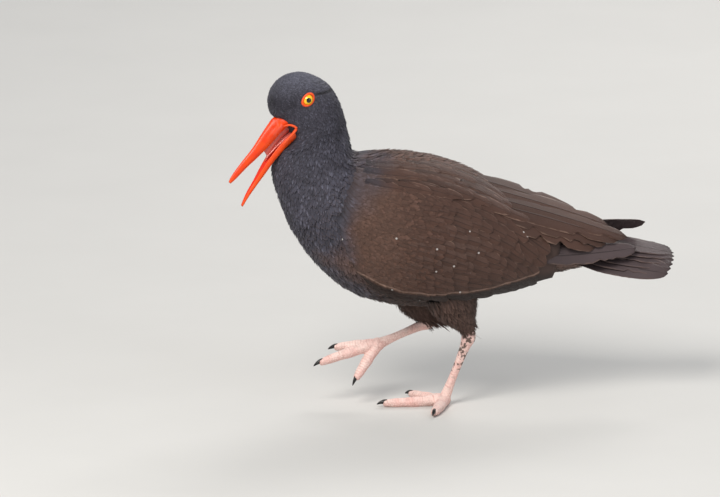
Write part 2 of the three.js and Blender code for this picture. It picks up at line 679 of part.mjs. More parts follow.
// Legs and feet
const TOE_NAMES = ["inner", "middle", "outer"];
for (const word of Object.keys(SIDES)) {
  const claws = TOE_NAMES.map((name) => onFloor(claw(word, name)));
  const toes = TOE_NAMES.map((name) => toe(word, name));
  const webs = [web(word, "middle", "outer", 0.5), web(word, "inner", "middle", 0.24)];
  const pad = ball(PAD_RADIUS, vec(...TOE_JOINT[word]));
  const foot = onFloor(join([...toes, ...webs, pad]));
  const clawCuts = TOE_NAMES.map((name) => claw(word, name, GAP));
  add("tarsus_" + word, tarsus(word), SKIN_PINK);
  add("foot_" + word, clear(foot, [tarsus(word, GAP), ...clawCuts]), SKIN_PINK, 0.08);
  TOE_NAMES.forEach((name, i) => add("claw_" + word + "_" + name, claws[i], CLAW_BLACK));
  add("thigh_" + word, clear(thigh(word), [bodyGrown, wingCut[word], tarsus(word, GAP)]), BROWN);
}

export default bird;
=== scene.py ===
"""Looks of a life-size black oystercatcher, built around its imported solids.

Lengths in the shape functions are in millimetres and become metres when a mesh is written. The bird faces
-X and its left side is towards -Y. The trunk, neck and head are one surface: a row of leaning sections, each
with a point on the back, a point underneath, a half width and a turn to the left, joined by Catmull-Rom
curves. The small feathers follow that surface. Each has a map of its own, and a patch at its root's place in
the map OFBake.
"""

import math

import bpy
import numpy as np
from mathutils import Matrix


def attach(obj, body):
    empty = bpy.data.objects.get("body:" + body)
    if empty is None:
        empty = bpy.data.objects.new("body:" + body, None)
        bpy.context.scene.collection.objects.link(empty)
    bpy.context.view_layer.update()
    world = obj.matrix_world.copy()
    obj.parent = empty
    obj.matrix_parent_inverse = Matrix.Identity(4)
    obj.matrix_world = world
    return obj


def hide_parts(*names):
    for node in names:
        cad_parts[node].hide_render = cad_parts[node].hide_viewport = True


bl_info = {
    "name": "Black Oystercatcher",
    "version": (1, 0, 0),
    "blender": (4, 5, 0),
    "location": "View3D > Sidebar > Oystercatcher",
    "description": "Dresses the solids of a walking black oystercatcher",
    "category": "Add Mesh",
}

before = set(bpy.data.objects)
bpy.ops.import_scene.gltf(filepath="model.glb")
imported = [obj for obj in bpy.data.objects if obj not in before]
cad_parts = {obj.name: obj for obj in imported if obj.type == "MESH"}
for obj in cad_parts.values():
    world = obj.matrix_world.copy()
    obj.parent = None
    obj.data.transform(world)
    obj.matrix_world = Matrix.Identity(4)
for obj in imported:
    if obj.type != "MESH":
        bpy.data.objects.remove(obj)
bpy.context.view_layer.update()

MM = 0.001
BODY = "root"
SIDES = {"left": -1, "right": 1}
WHOLE_TURN = (-math.pi, math.pi)

# A small step of a surface's two numbers, for its directions
NUDGE = 0.02

# The neck and head turn about the upright line at NECK_X, the head by HEAD_YAW degrees to the left.
NECK_X = -101.0
HEAD_YAW = 18.0
HEAD_COS = math.cos(math.radians(HEAD_YAW))
HEAD_SIN = math.sin(math.radians(HEAD_YAW))

# The folded wing's shell: its gap to the body, its height, and the sections between which it lies
GAP = 0.3
WING_SHELL = 4.6
WING_FRONT = 8.2
WING_REAR = 1.5

# The leaning sections from the rump to the forehead: back, underneath, half width, turn in degrees.
BACK = np.array([
    (239, 147), (213, 157.5), (183, 170), (153, 186.5), (123, 205.5), (93, 217), (63, 222.5), (40, 223),
    (27, 223), (23, 225.5), (22, 231), (20.5, 238.5), (18, 248.5), (15, 258.5), (10.5, 269.5), (3, 281),
    (-8, 289.5), (-22, 295), (-36, 294.3), (-46, 288.5), (-51.3, 279.5),
])
UNDER = np.array([
    (229, 117), (202, 112), (176, 108), (149, 100), (121, 90), (89, 86), (54, 90), (21, 101), (-8, 125),
    (-28, 154), (-41, 185), (-48, 209), (-45.5, 226), (-37, 234.5), (-33, 238.5), (-35, 244), (-39.5, 250),
    (-45, 256), (-50, 259), (-52, 262.5), (-53, 267.5),
])
HALF = np.array([
    13, 24, 34, 42, 48, 51, 51, 48, 42, 35, 28.5, 24.5, 21.5, 20, 19.5, 19, 18, 16, 13.5, 10.5, 6.5,
])
YAW = np.array([0.0] * 10 + [5, 10, 14] + [18] * 8)
LAST = len(HALF) - 1

# The bill's two halves in the head's upright plane: each section's top, its underside and its half width
BILL_UPPER = np.array([
    (-32, 263.5, -23, 252.5, 7.4),
    (-40, 261.5, -30, 250.5, 7.2), (-49, 258, -38, 248, 6.2), (-54, 253, -46, 241.5, 5.2),
    (-60.6, 244.8, -53.2, 234.8, 4.2), (-69.5, 233.3, -63.3, 226.6, 3.3), (-79.7, 222.7, -75, 217.8, 2.4),
    (-88.3, 213, -84.8, 209.6, 1.7), (-91.2, 208, -89.8, 206.2, 1.2),
])
BILL_LOWER = np.array([
    (-21, 254, -17, 245, 7.4),
    (-29, 249.8, -25, 240, 7.2), (-35, 247, -32.5, 235.5, 6.2), (-45.5, 238.5, -41, 228.5, 5.2),
    (-54, 228.5, -49, 221, 4.4), (-61.5, 217.5, -56.5, 212, 3.6), (-68, 206.3, -64.6, 202.8, 2.7),
    (-75, 195.7, -72.3, 193.5, 1.9), (-79.5, 186.7, -78.4, 185, 1.2),
])

# The eyeball's centre by the head's directions, its radius, the oval of the lids and the bare oval round it
EYE_BACK = -25.0
EYE_OUT = 14.5
EYE_UP = 274.3
EYE_RADIUS = 5.0
LID_LONG = 5.6
LID_SHORT = 4.45
LID_SLANT = math.radians(40)
BARE_LONG = 6.3
BARE_SHORT = 4.6

# Places of the legs' joints. Each toe has its turn from straight ahead in degrees, its length and its dip in
# degrees.
ANKLE = {"left": (20, -12, 64), "right": (-8, 20, 68)}
TOE_JOINT = {"left": (0, 0, 4.8), "right": (-53, 20, 50)}
TOES = {
    "left": {"outer": (68, 41, 0), "middle": (-2, 51, 0), "inner": (-52, 38, 0)},
    "right": {"outer": (-14, 36, 2), "middle": (5, 51, 11), "inner": (32, 34, 44)},
}
TOE_NAMES = ("inner", "middle", "outer")

# Hip, knee and ankle end of each thigh, with its radius at the hip, half way down and at the ankle
THIGH = {
    "left": ((0, -20, 108), (10, -16, 86), (19, -12, 68.5)),
    "right": ((-22, 22, 108), (-16, 21, 84), (-9, 20, 72.5)),
}
THIGH_RADII = {"left": (27, 18.5, 6.0), "right": (27, 18.5, 7.5)}

TOE_RADIUS = 4.3
SHANK_RADIUS = 3.6
PAD_RADIUS = 5.8
CLAW_LENGTH = 8.5


# Shape functions


def mix(a, b, t):
    """Straight from a to b as t goes from 0 to 1."""
    return a + (b - a) * t


def smooth(t):
    """The S-shaped step 3t^2 - 2t^3, with t held between 0 and 1."""
    t = np.clip(t, 0, 1)
    return t * t * (3 - 2 * t)


def unit(v):
    """Vectors scaled to length one."""
    return v / np.maximum(np.linalg.norm(v, axis=-1, keepdims=True), 1e-9)


def spline(values, t):
    """Catmull-Rom curve through a table's rows, with t counting the rows."""
    values = np.asarray(values, float)
    t = np.asarray(t, float)
    last = len(values) - 1
    i = np.clip(np.floor(t).astype(int), 0, last - 1)
    f = t - i
    if values.ndim > 1:
        f = f[..., None]
    pad = np.concatenate([values[:1], values, values[-1:]])
    a, b, c, d = pad[i], pad[i + 1], pad[i + 2], pad[i + 3]
    return b + 0.5 * f * (c - a + f * (2 * a - 5 * b + 4 * c - d + f * (3 * (b - c) + d - a)))


def head_point(behind, out, up, yaw=HEAD_YAW):
    """A point of the neck's upright plane, moved out to a side and turned about the neck's upright line."""
    c, s = np.cos(np.radians(yaw)), np.sin(np.radians(yaw))
    behind, out, up = np.broadcast_arrays(behind, out, up)
    return np.stack([NECK_X + behind * c - out * s, behind * s + out * c, up * 1.0], -1)


def head_axes(side):
    """Backward, outward and upward directions of the head, outward being towards one side."""
    return np.array([HEAD_COS, HEAD_SIN, 0]), side * np.array([-HEAD_SIN, HEAD_COS, 0]), np.array([0, 0, 1.0])


def head_parts(away):
    """How far vectors reach backward, to the right and up, by the head's directions."""
    x, y, up = away[..., 0], away[..., 1], away[..., 2]
    return x * HEAD_COS + y * HEAD_SIN, y * HEAD_COS - x * HEAD_SIN, up


def skin_point(t, angle):
    """The body's surface: an ellipse in each leaning section. Angles go from the back down the right side."""
    back, under = spline(BACK, t), spline(UNDER, t)
    lift = (0.5 + 0.5 * np.cos(angle))[..., None]
    middle = mix(under, back, lift)
    return head_point(middle[..., 0], spline(HALF, t) * np.sin(angle), middle[..., 1], spline(YAW, t))


def skin_axes(t, angle):
    """The outward normal, and the surface's speeds towards the head and down the right side."""
    low, high = np.clip(t - NUDGE, 0, LAST), np.clip(t + NUDGE, 0, LAST)
    u = (skin_point(high, angle) - skin_point(low, angle)) / (high - low)[..., None]
    v = (skin_point(t, angle + NUDGE) - skin_point(t, angle - NUDGE)) / (2 * NUDGE)
    return unit(np.cross(v, u)), u, v


def body_point(t, angle, out):
    """The body's surface pushed out along its normal. Behind the rump it runs straight on to the tail."""
    held = np.clip(t, NUDGE, LAST - NUDGE)
    normal, u, _ = skin_axes(held, angle)
    return skin_point(held, angle) + normal * np.asarray(out)[..., None] + u * (t - held)[..., None]


def wing_top(t):
    """The wing's upper edge, as an angle from the back."""
    return np.radians(mix(62, 40, smooth((t - 2) / 5)))


def wing_low(t):
    """The wing's lower edge, as an angle from the back, straight between a few stations."""
    stations = [1.5, 2.3, 3, 4, 5, 6, 6.6, 7.2, 7.7, 8.2]
    return np.radians(np.interp(t, stations, [143, 150, 147, 138, 135, 136, 129, 118, 106, 92]))


def wing_rise(t, angle):
    """How far the folded wing stands out: its shell's height, thinned towards its upper and front edges."""
    a = np.clip((t - WING_REAR) / (WING_FRONT - WING_REAR), 0, 1)
    b = np.clip((angle - wing_top(t)) / (wing_low(t) - wing_top(t)), 0, 1)
    edge = np.minimum(1, 5 * b) * np.minimum(1, 7 * (1 - a))
    return WING_SHELL * (0.25 + 0.75 * smooth(edge)) * mix(0.75, 1.25, b)


def on_body(depth):
    """The surface that the body's feathers lie on."""
    return lambda t, angle, out: body_point(t, angle, out - depth)


def on_head(depth):
    """The head's surface with its front closed: past the last section it runs in to a point over the bill."""

    def surface(t, angle, out):
        inside = np.minimum(t, LAST)
        edge = body_point(inside, angle, out - depth)
        share = np.clip(t - LAST, 0, 1)[..., None]
        low = body_point(np.full_like(inside, LAST), np.full_like(angle, math.pi), np.zeros_like(angle))
        high = body_point(np.full_like(inside, LAST), np.zeros_like(angle), np.zeros_like(angle))
        front = np.array([-HEAD_COS, -HEAD_SIN, 0.25])
        pole = mix(low, high, 0.3) + front * (out - depth)[..., None]
        return mix(edge, pole, share) + front * (0.9 * np.sqrt(share))

    return surface


def on_wing(t, angle, out):
    """The surface under the wing's feathers: its shell over the body, faded out past its long edges."""
    size = np.abs(angle)
    inside = smooth((size - wing_top(t) + 0.25) / 0.3)
    below = 1 - smooth((size - wing_low(t)) / 0.12)
    return body_point(t, angle, out + (GAP + wing_rise(t, size)) * inside * below)


def thigh_axis(word, s):
    """Centre line of a thigh, a quadratic curve through hip, knee and ankle."""
    hip, knee, ankle = (np.array(p, float) for p in THIGH[word])
    s = np.asarray(s)[..., None]
    bend = 2 * knee - 0.5 * (hip + ankle)
    return (1 - s) ** 2 * hip + 2 * s * (1 - s) * bend + s**2 * ankle


def on_thigh(word, depth):
    """A thigh's surface: a tapering tube, flattened from side to side.

    Its first number is 1 at the hip and 0 at the ankle, and its second is the angle round the tube.
    """

    def surface(q, angle, out):
        s = 1 - q
        held = np.clip(s, 0, 1)
        radius = np.interp(held, [0, 0.5, 1], THIGH_RADII[word]) - depth * smooth((1.02 - held) / 0.2)
        centre = thigh_axis(word, held)
        along = unit(thigh_axis(word, held + NUDGE) - thigh_axis(word, held - NUDGE))
        side = unit(np.cross(np.array([0.0, 0, 1]), along) + np.array([1e-6, 0, 0]))
        fore = np.cross(along, side)
        spread = side * (np.cos(angle) * 0.75)[..., None] + fore * np.sin(angle)[..., None]
        past = along * ((s - held) * 45)[..., None]
        return centre + spread * (radius + np.asarray(out))[..., None] + past

    return surface


# Meshes


def make_mesh(name, points, quads, triangles=()):
    """A mesh in metres from points in millimetres, four-cornered faces and three-cornered faces."""
    points = np.asarray(points, float).reshape(-1, 3)
    quads = np.asarray(quads, np.int32).reshape(-1, 4)
    triangles = np.asarray(triangles, np.int32).reshape(-1, 3)
    loops = np.concatenate([quads.ravel(), triangles.ravel()])
    starts = np.concatenate([np.arange(len(quads)) * 4, len(quads) * 4 + np.arange(len(triangles)) * 3])
    mesh = bpy.data.meshes.new(name)
    mesh.vertices.add(len(points))
    mesh.vertices.foreach_set("co", (points * MM).astype(np.float32).ravel())
    mesh.loops.add(len(loops))
    mesh.loops.foreach_set("vertex_index", loops.astype(np.int32))
    mesh.polygons.add(len(starts))
    mesh.polygons.foreach_set("loop_start", starts.astype(np.int32))
    mesh.polygons.foreach_set("use_smooth", np.ones(len(starts), bool))
    mesh.update(calc_edges=True)
    return mesh


def put_uv(mesh, name, per_point):
    """A UV map from one pair of numbers for each vertex."""
    index = np.zeros(len(mesh.loops), np.int32)
    mesh.loops.foreach_get("vertex_index", index)
    layer = mesh.uv_layers.new(name=name)
    layer.data.foreach_set("uv", np.asarray(per_point, np.float32)[index].ravel())


def put_number(mesh, name, per_point):
    """A number for each vertex, kept as an attribute that a material can read."""
    layer = mesh.attributes.new(name, "FLOAT", "POINT")
    layer.data.foreach_set("value", np.asarray(per_point, np.float32).ravel())


def grid_faces(rows, columns, around=False, ring=False):
    """The four-cornered faces of a grid of points. It may close round its columns and round its rows."""
    i, j = np.meshgrid(
        np.arange(rows if ring else rows - 1), np.arange(columns if around else columns - 1), indexing="ij"
    )
    k = (j + 1) % columns
    here, ahead = i * columns, (i + 1) % rows * columns
    return np.stack([here + j, here + k, ahead + k, ahead + j], -1).reshape(-1, 4)


def grid_uv(rows, columns):
    """A grid's own map: across its columns and along its rows."""
    v, u = np.meshgrid(np.linspace(0, 1, rows), np.linspace(0, 1, columns), indexing="ij")
    return np.stack([u.ravel(), v.ravel()], -1)


def face_normals(points, quads):
    """Each face's normal, as long as its area."""
    corners = points[quads]
    return np.cross(corners[:, 1] - corners[:, 0], corners[:, 3] - corners[:, 0])


def loft_mesh(name, rings, end=None):
    """A closed tube through rings of points, with a point at each end. Its map Surface is turn by length.

    The ends are the middles of the first and the last ring, unless the far end is given.
    """
    rows, columns = rings.shape[:2]
    end = rings[-1].mean(0) if end is None else end
    points = np.concatenate([rings.reshape(-1, 3), [rings[0].mean(0)], [end]])
    quads = grid_faces(rows, columns, around=True)
    j = np.arange(columns)
    k = (j + 1) % columns
    top = (rows - 1) * columns
    first = np.stack([np.full(columns, rows * columns), k, j], -1)
    last = np.stack([np.full(columns, rows * columns + 1), top + j, top + k], -1)
    ring_middle = rings.mean(1)[quads[:, 0] // columns]
    if ((points[quads].mean(1) - ring_middle) * face_normals(points, quads)).sum() < 0:
        quads, first, last = quads[:, ::-1], first[:, ::-1], last[:, ::-1]
    mesh = make_mesh(name, points, quads, np.concatenate([first, last]))
    around = np.abs(np.linspace(-1, 1, columns, endpoint=False))
    u, v = np.meshgrid(np.linspace(0, 1, rows), around, indexing="ij")
    put_uv(mesh, "Surface", np.concatenate([np.stack([v.ravel(), u.ravel()], -1), [[0.5, 0], [0.5, 1]]]))
    return mesh


def plates_mesh(name, sheets):
    """Closed plates as one mesh, each between an upper and a lower sheet on one grid.

    A wall round the rim joins the two. The sheets come in plate, sheet, row and column order.
    """
    count, _, rows, columns = sheets.shape[:4]
    each = rows * columns
    upper = grid_faces(rows, columns)
    rim = np.concatenate([
        np.arange(columns), np.arange(1, rows) * columns + columns - 1,
        (rows - 1) * columns + np.arange(columns - 2, -1, -1), np.arange(rows - 2, 0, -1) * columns,
    ])
    ahead = np.roll(rim, -1)
    wall = np.stack([rim, rim + each, ahead + each, ahead], -1)
    one = np.concatenate([upper, upper[:, ::-1] + each, wall])
    quads = (one[None] + (np.arange(count) * each * 2)[:, None, None]).reshape(-1, 4)
    facing = face_normals(sheets.reshape(-1, 3), upper).sum(0)
    if (facing * (sheets[0, 0] - sheets[0, 1]).reshape(-1, 3).sum(0)).sum() < 0:
        quads = quads[:, ::-1]
    return make_mesh(name, sheets, quads)


def plate_mesh(name, top, under):
    """A closed plate between two sheets on one grid, with the map Surface."""
    mesh = plates_mesh(name, np.stack([top, under])[None])
    put_uv(mesh, "Surface", np.tile(grid_uv(*top.shape[:2]), (2, 1)))
    return mesh


def put_piece(name, mesh, material, replaced=()):
    """An object for a finished mesh. It rides on the bird's body and stands for the solids that are named."""
    piece = bpy.data.objects.new(name, mesh)
    bpy.context.scene.collection.objects.link(piece)
    mesh.materials.append(material)
    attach(piece, BODY)
    if replaced:
        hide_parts(*replaced)


# Feathers


# Steps of a low-discrepancy sequence in two directions
SPREAD_U = 0.7548776662466927
SPREAD_V = 0.5698402909980532


def scatter(surface, t_range, a_range, spacing):
    """Roots spread over a surface, each about one spacing from the next.

    The surface is divided into cells. Each cell's share is its area over the spacing squared, and a
    low-discrepancy sequence is carried through the running sums of those shares.
    """
    rows, columns = 260, 160
    t_edges = np.linspace(*t_range, rows + 1)
    a_edges = np.linspace(*a_range, columns + 1)
    corner = surface(*np.meshgrid(t_edges, a_edges, indexing="ij"), np.zeros((rows + 1, columns + 1)))
    along, across = corner[1:, :-1] - corner[:-1, :-1], corner[:-1, 1:] - corner[:-1, :-1]
    area = np.linalg.norm(np.cross(along, across), axis=-1)
    middles = ((edges[1:] + edges[:-1]) / 2 for edges in (t_edges, a_edges))
    t_mid, a_mid = np.meshgrid(*middles, indexing="ij")
    share = area / spacing(t_mid, a_mid) ** 2
    k = np.arange(int(share.sum()))
    u = (0.5 + k * SPREAD_U) % 1
    v = (0.5 + k * SPREAD_V) % 1
    by_row = np.concatenate([[0], share.sum(1).cumsum() / share.sum()])
    t = np.interp(u, by_row, t_edges)
    row = np.clip(np.searchsorted(by_row, u) - 1, 0, rows - 1)
    by_column = share.cumsum(1) / share.sum(1, keepdims=True)
    by_column = np.concatenate([np.zeros((rows, 1)), by_column], 1)[row]
    column = np.clip((by_column < v[:, None]).sum(1) - 1, 0, columns - 1)
    left = by_column[k, column]
    right = by_column[k, column + 1]
    a = mix(a_edges[column], a_edges[column + 1], (v - left) / np.maximum(right - left, 1e-9))
    return t, a


# For 4 or 9 rows of points in a feather: their places along the shaft, and the width at each as a share
FEATHER_ROWS = {
    4: (np.array([0, 0.38, 0.78, 1.0]), np.array([0.62, 1.0, 0.82, 0.2])),
    9: (
        np.array([0, 0.14, 0.3, 0.46, 0.62, 0.76, 0.88, 0.96, 1.0]),
        np.array([0.5, 0.75, 0.93, 1.0, 1.0, 0.93, 0.74, 0.44, 0.1]),
    ),
}


def lay_feathers(
    surface, t, a, length, width, lean, lift, rows, columns, draw, camber=0.25, sink=0.3, fray=0
):
    """Feathers that follow a surface, as points in feather, row and column order.

    Each root goes along the surface towards the tail, turned down the side by its lean. A row's height is a
    start below the surface plus the lift times its share of the length, less the camber times the square of
    the distance from the shaft. Fray cuts single points of the edges back.
    """
    s, shape = FEATHER_ROWS[rows]
    zero = np.zeros_like(t)
    u = (surface(t + NUDGE, a, zero) - surface(t - NUDGE, a, zero)) / (2 * NUDGE)
    v = (surface(t, a + NUDGE, zero) - surface(t, a - NUDGE, zero)) / (2 * NUDGE)
    speed_u = np.maximum(np.linalg.norm(u, axis=-1), 0.5)
    speed_v = np.maximum(np.linalg.norm(v, axis=-1), 1.5)
    step_t = -length * np.cos(lean) / speed_u
    step_a = np.where(a < 0, -1, 1) * length * np.sin(lean) / speed_v
    t_row = t[:, None] + step_t[:, None] * s
    a_row = a[:, None] + np.clip(step_a, -0.5, 0.5)[:, None] * s
    height = -sink + (lift[:, None] * length[:, None] + sink) * s**1.3
    spine = surface(t_row, a_row, height)
    normal = unit(spine - surface(t_row, a_row, height - 1.0))
    forward = unit(np.gradient(spine, axis=1))
    across = unit(np.cross(forward, normal))
    w = np.linspace(-1, 1, columns)
    half = 0.5 * width[:, None, None] * shape[None, :, None] * np.abs(w)[None, None, :]
    if fray:
        cut = draw.random((len(t), rows, columns))
        half = half * (1 - fray * (cut > 0.72) * cut * (np.abs(w) > 0.6) * (s > 0.3)[None, :, None])
    bend = camber * half**2 / np.maximum(width[:, None, None], 0.1) * 2
    points = spine[:, :, None] + across[:, :, None] * (half * np.sign(w))[..., None]
    return points - normal[:, :, None] * bend[..., None]


def feather_mesh(name, points, bake, tone, patch=0.003):
    """One mesh of many feathers, with the maps Feather and OFBake and the attribute tone."""
    count, rows, columns = points.shape[:3]
    one = grid_faces(rows, columns)
    quads = (one[None] + (np.arange(count) * rows * columns)[:, None, None]).reshape(-1, 4)
    mesh = make_mesh(name, points, quads)
    flat = grid_uv(rows, columns)
    put_uv(mesh, "Feather", np.tile(flat, (count, 1)))
    put_uv(mesh, "OFBake", (bake[:, None] + (flat[None] - 0.5) * patch).reshape(-1, 2))
    put_number(mesh, "tone", np.repeat(tone, rows * columns))
    return mesh


def bake_spot(t, a, t_range, a_range):
    """A root's place on the surface's own unwrap, kept just inside the map."""
    u = (t - t_range[0]) / (t_range[1] - t_range[0])
    v = (a - a_range[0]) / (a_range[1] - a_range[0])
    return np.stack([0.005 + 0.99 * np.clip(u, 0, 1), 0.005 + 0.99 * np.clip(v, 0, 1)], -1)


def ramp(start, reach, *ends, ease=np.asarray):
    """A function of a root's place that runs through each pair of ends as the section goes over the reach."""

    def values(t, a):
        share = ease((t - start) / reach)
        made = [mix(first, last, share) for first, last in ends]
        return made if len(made) > 1 else made[0]

    return values


def coat_piece(
    name, surface, t_range, a_range, spacing, sizes, lean, lift, material, seed, keep=None, fray=0
):
    """A coat of small feathers over a part of a surface.

    The functions spacing, sizes, lean and keep take a root's place. They give the distance to the next root,
    the feather's length and width, its turn down the side and whether it stays.
    """
    draw = np.random.default_rng(seed)
    t, a = scatter(surface, t_range, a_range, spacing)
    t = t + draw.normal(0, 0.004, len(t)) * (t_range[1] - t_range[0])
    if keep is not None:
        kept = keep(t, a)
        t, a = t[kept], a[kept]
    length, width = sizes(t, a)
    length = length * draw.uniform(0.8, 1.2, len(t))
    width = width * draw.uniform(0.85, 1.15, len(t))
    leans = lean(t, a) + draw.normal(0, 0.12, len(t))
    lifts = lift * draw.uniform(0.5, 1.6, len(t))
    points = lay_feathers(surface, t, a, length, width, leans, lifts, 4, 3, draw, fray=fray)
    mesh = feather_mesh(name, points, bake_spot(t, a, t_range, a_range), draw.random(len(t)))
    put_piece(name, mesh, material)


def vane_points(draw, root, bend, tip, face_root, face_tip, half, fray, rows=26, camber=0.1, blunt=0.45):
    """A long feather along a quadratic curve from root through bend to tip, as rows and columns of points.

    Its half width swells over the first two fifths, stays level and rounds off at the tip. Notches cut both
    edges back here and there, and the sheet bends down from the shaft by the camber.
    """
    s = np.linspace(0, 1, rows) ** 0.93
    w = np.linspace(-1, 1, VANE_COLUMNS)
    root, bend, tip = (np.array(p, float) for p in (root, bend, tip))
    k = s[:, None]
    centre = (1 - k) ** 2 * root + 2 * k * (1 - k) * bend + k**2 * tip
    forward = unit(np.gradient(centre, axis=0))
    face = mix(np.array(face_root, float), np.array(face_tip, float), k)
    face = unit(face - forward * (face * forward).sum(-1, keepdims=True))
    across = np.cross(forward, face)
    shape = mix(0.55, 1.0, smooth(s / 0.4)) * (1 - s**5) ** blunt + 0.04
    wide = half * shape[:, None] * np.abs(w)[None]
    for side in SIDES.values():
        notch = (draw.random(rows) > 0.86) * draw.uniform(0.3, 1.0, rows) * fray * (s > 0.3)
        notch = notch + 0.5 * np.concatenate([[0], notch[:-1]])
        edge = smooth((w * side - 0.45) / 0.55)
        wide = wide * (1 - notch[:, None] * edge[None])
        waver = draw.normal(0, 0.02, rows) * fray
        wide = wide * (1 + waver[:, None] * edge[None])
    points = centre[:, None] + across[:, None] * (wide * np.sign(w))[..., None]
    ridge = 0.25 * (1 - np.minimum(1, np.abs(w) * 5))
    drop = camber * half * shape[:, None] * (w**2)[None] - ridge[None]
    return points - face[:, None] * drop[..., None], face


VANE_COLUMNS = 11
VANE_THICKNESS = 0.5


def vane_piece(name, vanes, material, seed, replaced):
    """Long feathers as closed plates that thin towards tip and edges.

    Each plate's two sheets have cells of their own in the map OFBake.
    """
    draw = np.random.default_rng(seed)
    sheets = []
    for vane in vanes:
        top, face = vane_points(draw, **vane)
        s, w = np.linspace(0, 1, len(top)), np.abs(np.linspace(-1, 1, VANE_COLUMNS))
        thin = VANE_THICKNESS * mix(1, 0.4, s)[:, None] * mix(1, 0.25, w)[None]
        sheets.append(np.stack([top, top - face[:, None] * thin[..., None]]))
    mesh = plates_mesh(name, np.array(sheets))
    flat = grid_uv(len(top), VANE_COLUMNS)
    cell = np.arange(2 * len(sheets))
    cells_across = math.ceil(math.sqrt(len(cell)))
    corner = np.stack([cell % cells_across, cell // cells_across], -1)[:, None] / cells_across
    put_uv(mesh, "Feather", np.tile(flat, (len(cell), 1)))
    put_uv(mesh, "OFBake", (corner + (0.06 + 0.88 * flat[None]) / cells_across).reshape(-1, 2))
    put_number(mesh, "tone", np.repeat(draw.random(len(sheets)), 2 * len(flat)))
    put_piece(name, mesh, material, replaced)


# Materials


class Wire:
    """A shader value. Sums, differences, products and quotients of it add Math nodes."""

    def __init__(self, paint, socket):
        self.paint = paint
        self.socket = socket

    def __add__(self, other):
        return self.paint.maths("ADD", self, other)

    __radd__ = __add__

    def __sub__(self, other):
        return self.paint.maths("SUBTRACT", self, other)

    def __rsub__(self, other):
        return self.paint.maths("SUBTRACT", other, self)

    def __mul__(self, other):
        return self.paint.maths("MULTIPLY", self, other)

    __rmul__ = __mul__

    def __truediv__(self, other):
        return self.paint.maths("DIVIDE", self, other)


class Paint:
    """A material under construction: one shader with its nodes."""

    def __init__(self, name, roughness, **constants):
        self.material = bpy.data.materials.new(name)
        self.material.use_nodes = True
        self.tree = self.material.node_tree
        self.tree.nodes.clear()
        self.shader = self.tree.nodes.new("ShaderNodeBsdfPrincipled")
        target = self.tree.nodes.new("ShaderNodeOutputMaterial")
        self.tree.links.new(self.shader.outputs[0], target.inputs["Surface"])
        self.shader.inputs["Roughness"].default_value = roughness
        for socket, value in constants.items():
            self.shader.inputs[socket.replace("_", " ")].default_value = value

    def put(self, socket, value):
        """A link from a shader value, or else a plain number or colour, into a socket."""
        if isinstance(value, Wire):
            self.tree.links.new(value.socket, socket)
        elif isinstance(value, tuple) and len(value) == 3 and socket.type == "RGBA":
            socket.default_value = (*value, 1)
        else:
            socket.default_value = value

    def node(self, kind, settings, inputs, output=0):
        """A node of a kind, with its settings made first and then its sockets' values or links."""
        made = self.tree.nodes.new(kind)
        for key, value in settings.items():
            setattr(made, key, value)
        for key, value in inputs.items():
            self.put(made.inputs[key], value)
        return Wire(self, made.outputs[output])

    def maths(self, operation, *values):
        """A Math node on numbers and shader values."""
        return self.node("ShaderNodeMath", {"operation": operation}, dict(enumerate(values)))

    def least(self, a, b):
        return self.maths("MINIMUM", a, b)

    def most(self, a, b):
        return self.maths("MAXIMUM", a, b)

    def held(self, value):
        """A value kept between 0 and 1."""
        return self.least(self.most(value, 0.0), 1.0)

    def step(self, value, low, high):
        """0 below low, 1 above high and an S-shaped way between."""
        return self.node(
            "ShaderNodeMapRange",
            {"interpolation_type": "SMOOTHSTEP"},
            {"Value": value, "From Min": low, "From Max": high},
        )

    def near(self, value, place, outer, inner):
        """1 within the inner distance of a place and 0 beyond the outer one."""
        return self.step(self.maths("ABSOLUTE", value - place), outer, inner)

    def blend(self, factor, a, b, how="MIX"):
        settings = {"data_type": "RGBA", "blend_type": how}
        return self.node("ShaderNodeMix", settings, {0: factor, 6: a, 7: b}, 2)

    def place(self):
        """Object coordinates, in metres."""
        return self.node("ShaderNodeTexCoord", {}, {}, "Object")

    def parts(self, vector):
        """A vector's three numbers."""
        made = self.tree.nodes.new("ShaderNodeSeparateXYZ")
        self.put(made.inputs[0], vector)
        return [Wire(self, made.outputs[i]) for i in range(3)]

    def chart(self, name):
        """A UV map's two numbers."""
        return self.parts(self.node("ShaderNodeUVMap", {"uv_map": name}, {}))[:2]

    def number(self, name):
        """A mesh's number for each vertex."""
        return self.node("ShaderNodeAttribute", {"attribute_name": name}, {}, "Fac")

    def noise(self, scale, detail=2.0, vector=None):
        inputs = {"Scale": scale, "Detail": detail, "Vector": vector or self.place()}
        return self.node("ShaderNodeTexNoise", {}, inputs)

    def cells(self, scale, feature="F1"):
        inputs = {"Scale": scale, "Vector": self.place()}
        return self.node("ShaderNodeTexVoronoi", {"feature": feature}, inputs, "Distance")

    def stretched(self, x, y, z):
        """Object coordinates, scaled along each axis."""
        return self.node("ShaderNodeMapping", {}, {"Vector": self.place(), "Scale": (x, y, z)})

    def tint(self, colour, amount):
        """A colour made lighter or darker by a number."""
        return self.blend(1.0, colour, self.grey(amount), "MULTIPLY")

    def grey(self, value):
        return self.node("ShaderNodeCombineColor", {}, {0: value, 1: value, 2: value})

    def base(self, colour):
        self.put(self.shader.inputs["Base Color"], colour)

    def relief(self, height, distance, strength):
        """Bumps of a height, in metres at full strength."""
        inputs = {"Height": height, "Distance": distance, "Strength": strength}
        self.put(self.shader.inputs["Normal"], self.node("ShaderNodeBump", {}, inputs, "Normal"))


# Where the drawn markings and the painted shade lie, in metres: the bend in the border of slate and brown,
# the painted shadow in the crease behind the eye, the dark lores, and the lowest point of the wing's pale rim
BORDER_BACK = 0.093
BORDER_Z = 0.135
CREASE_SHADE_Z = 0.278
LORES_Z = 0.270
RIM_X = -0.015
RIM_Z = 0.106


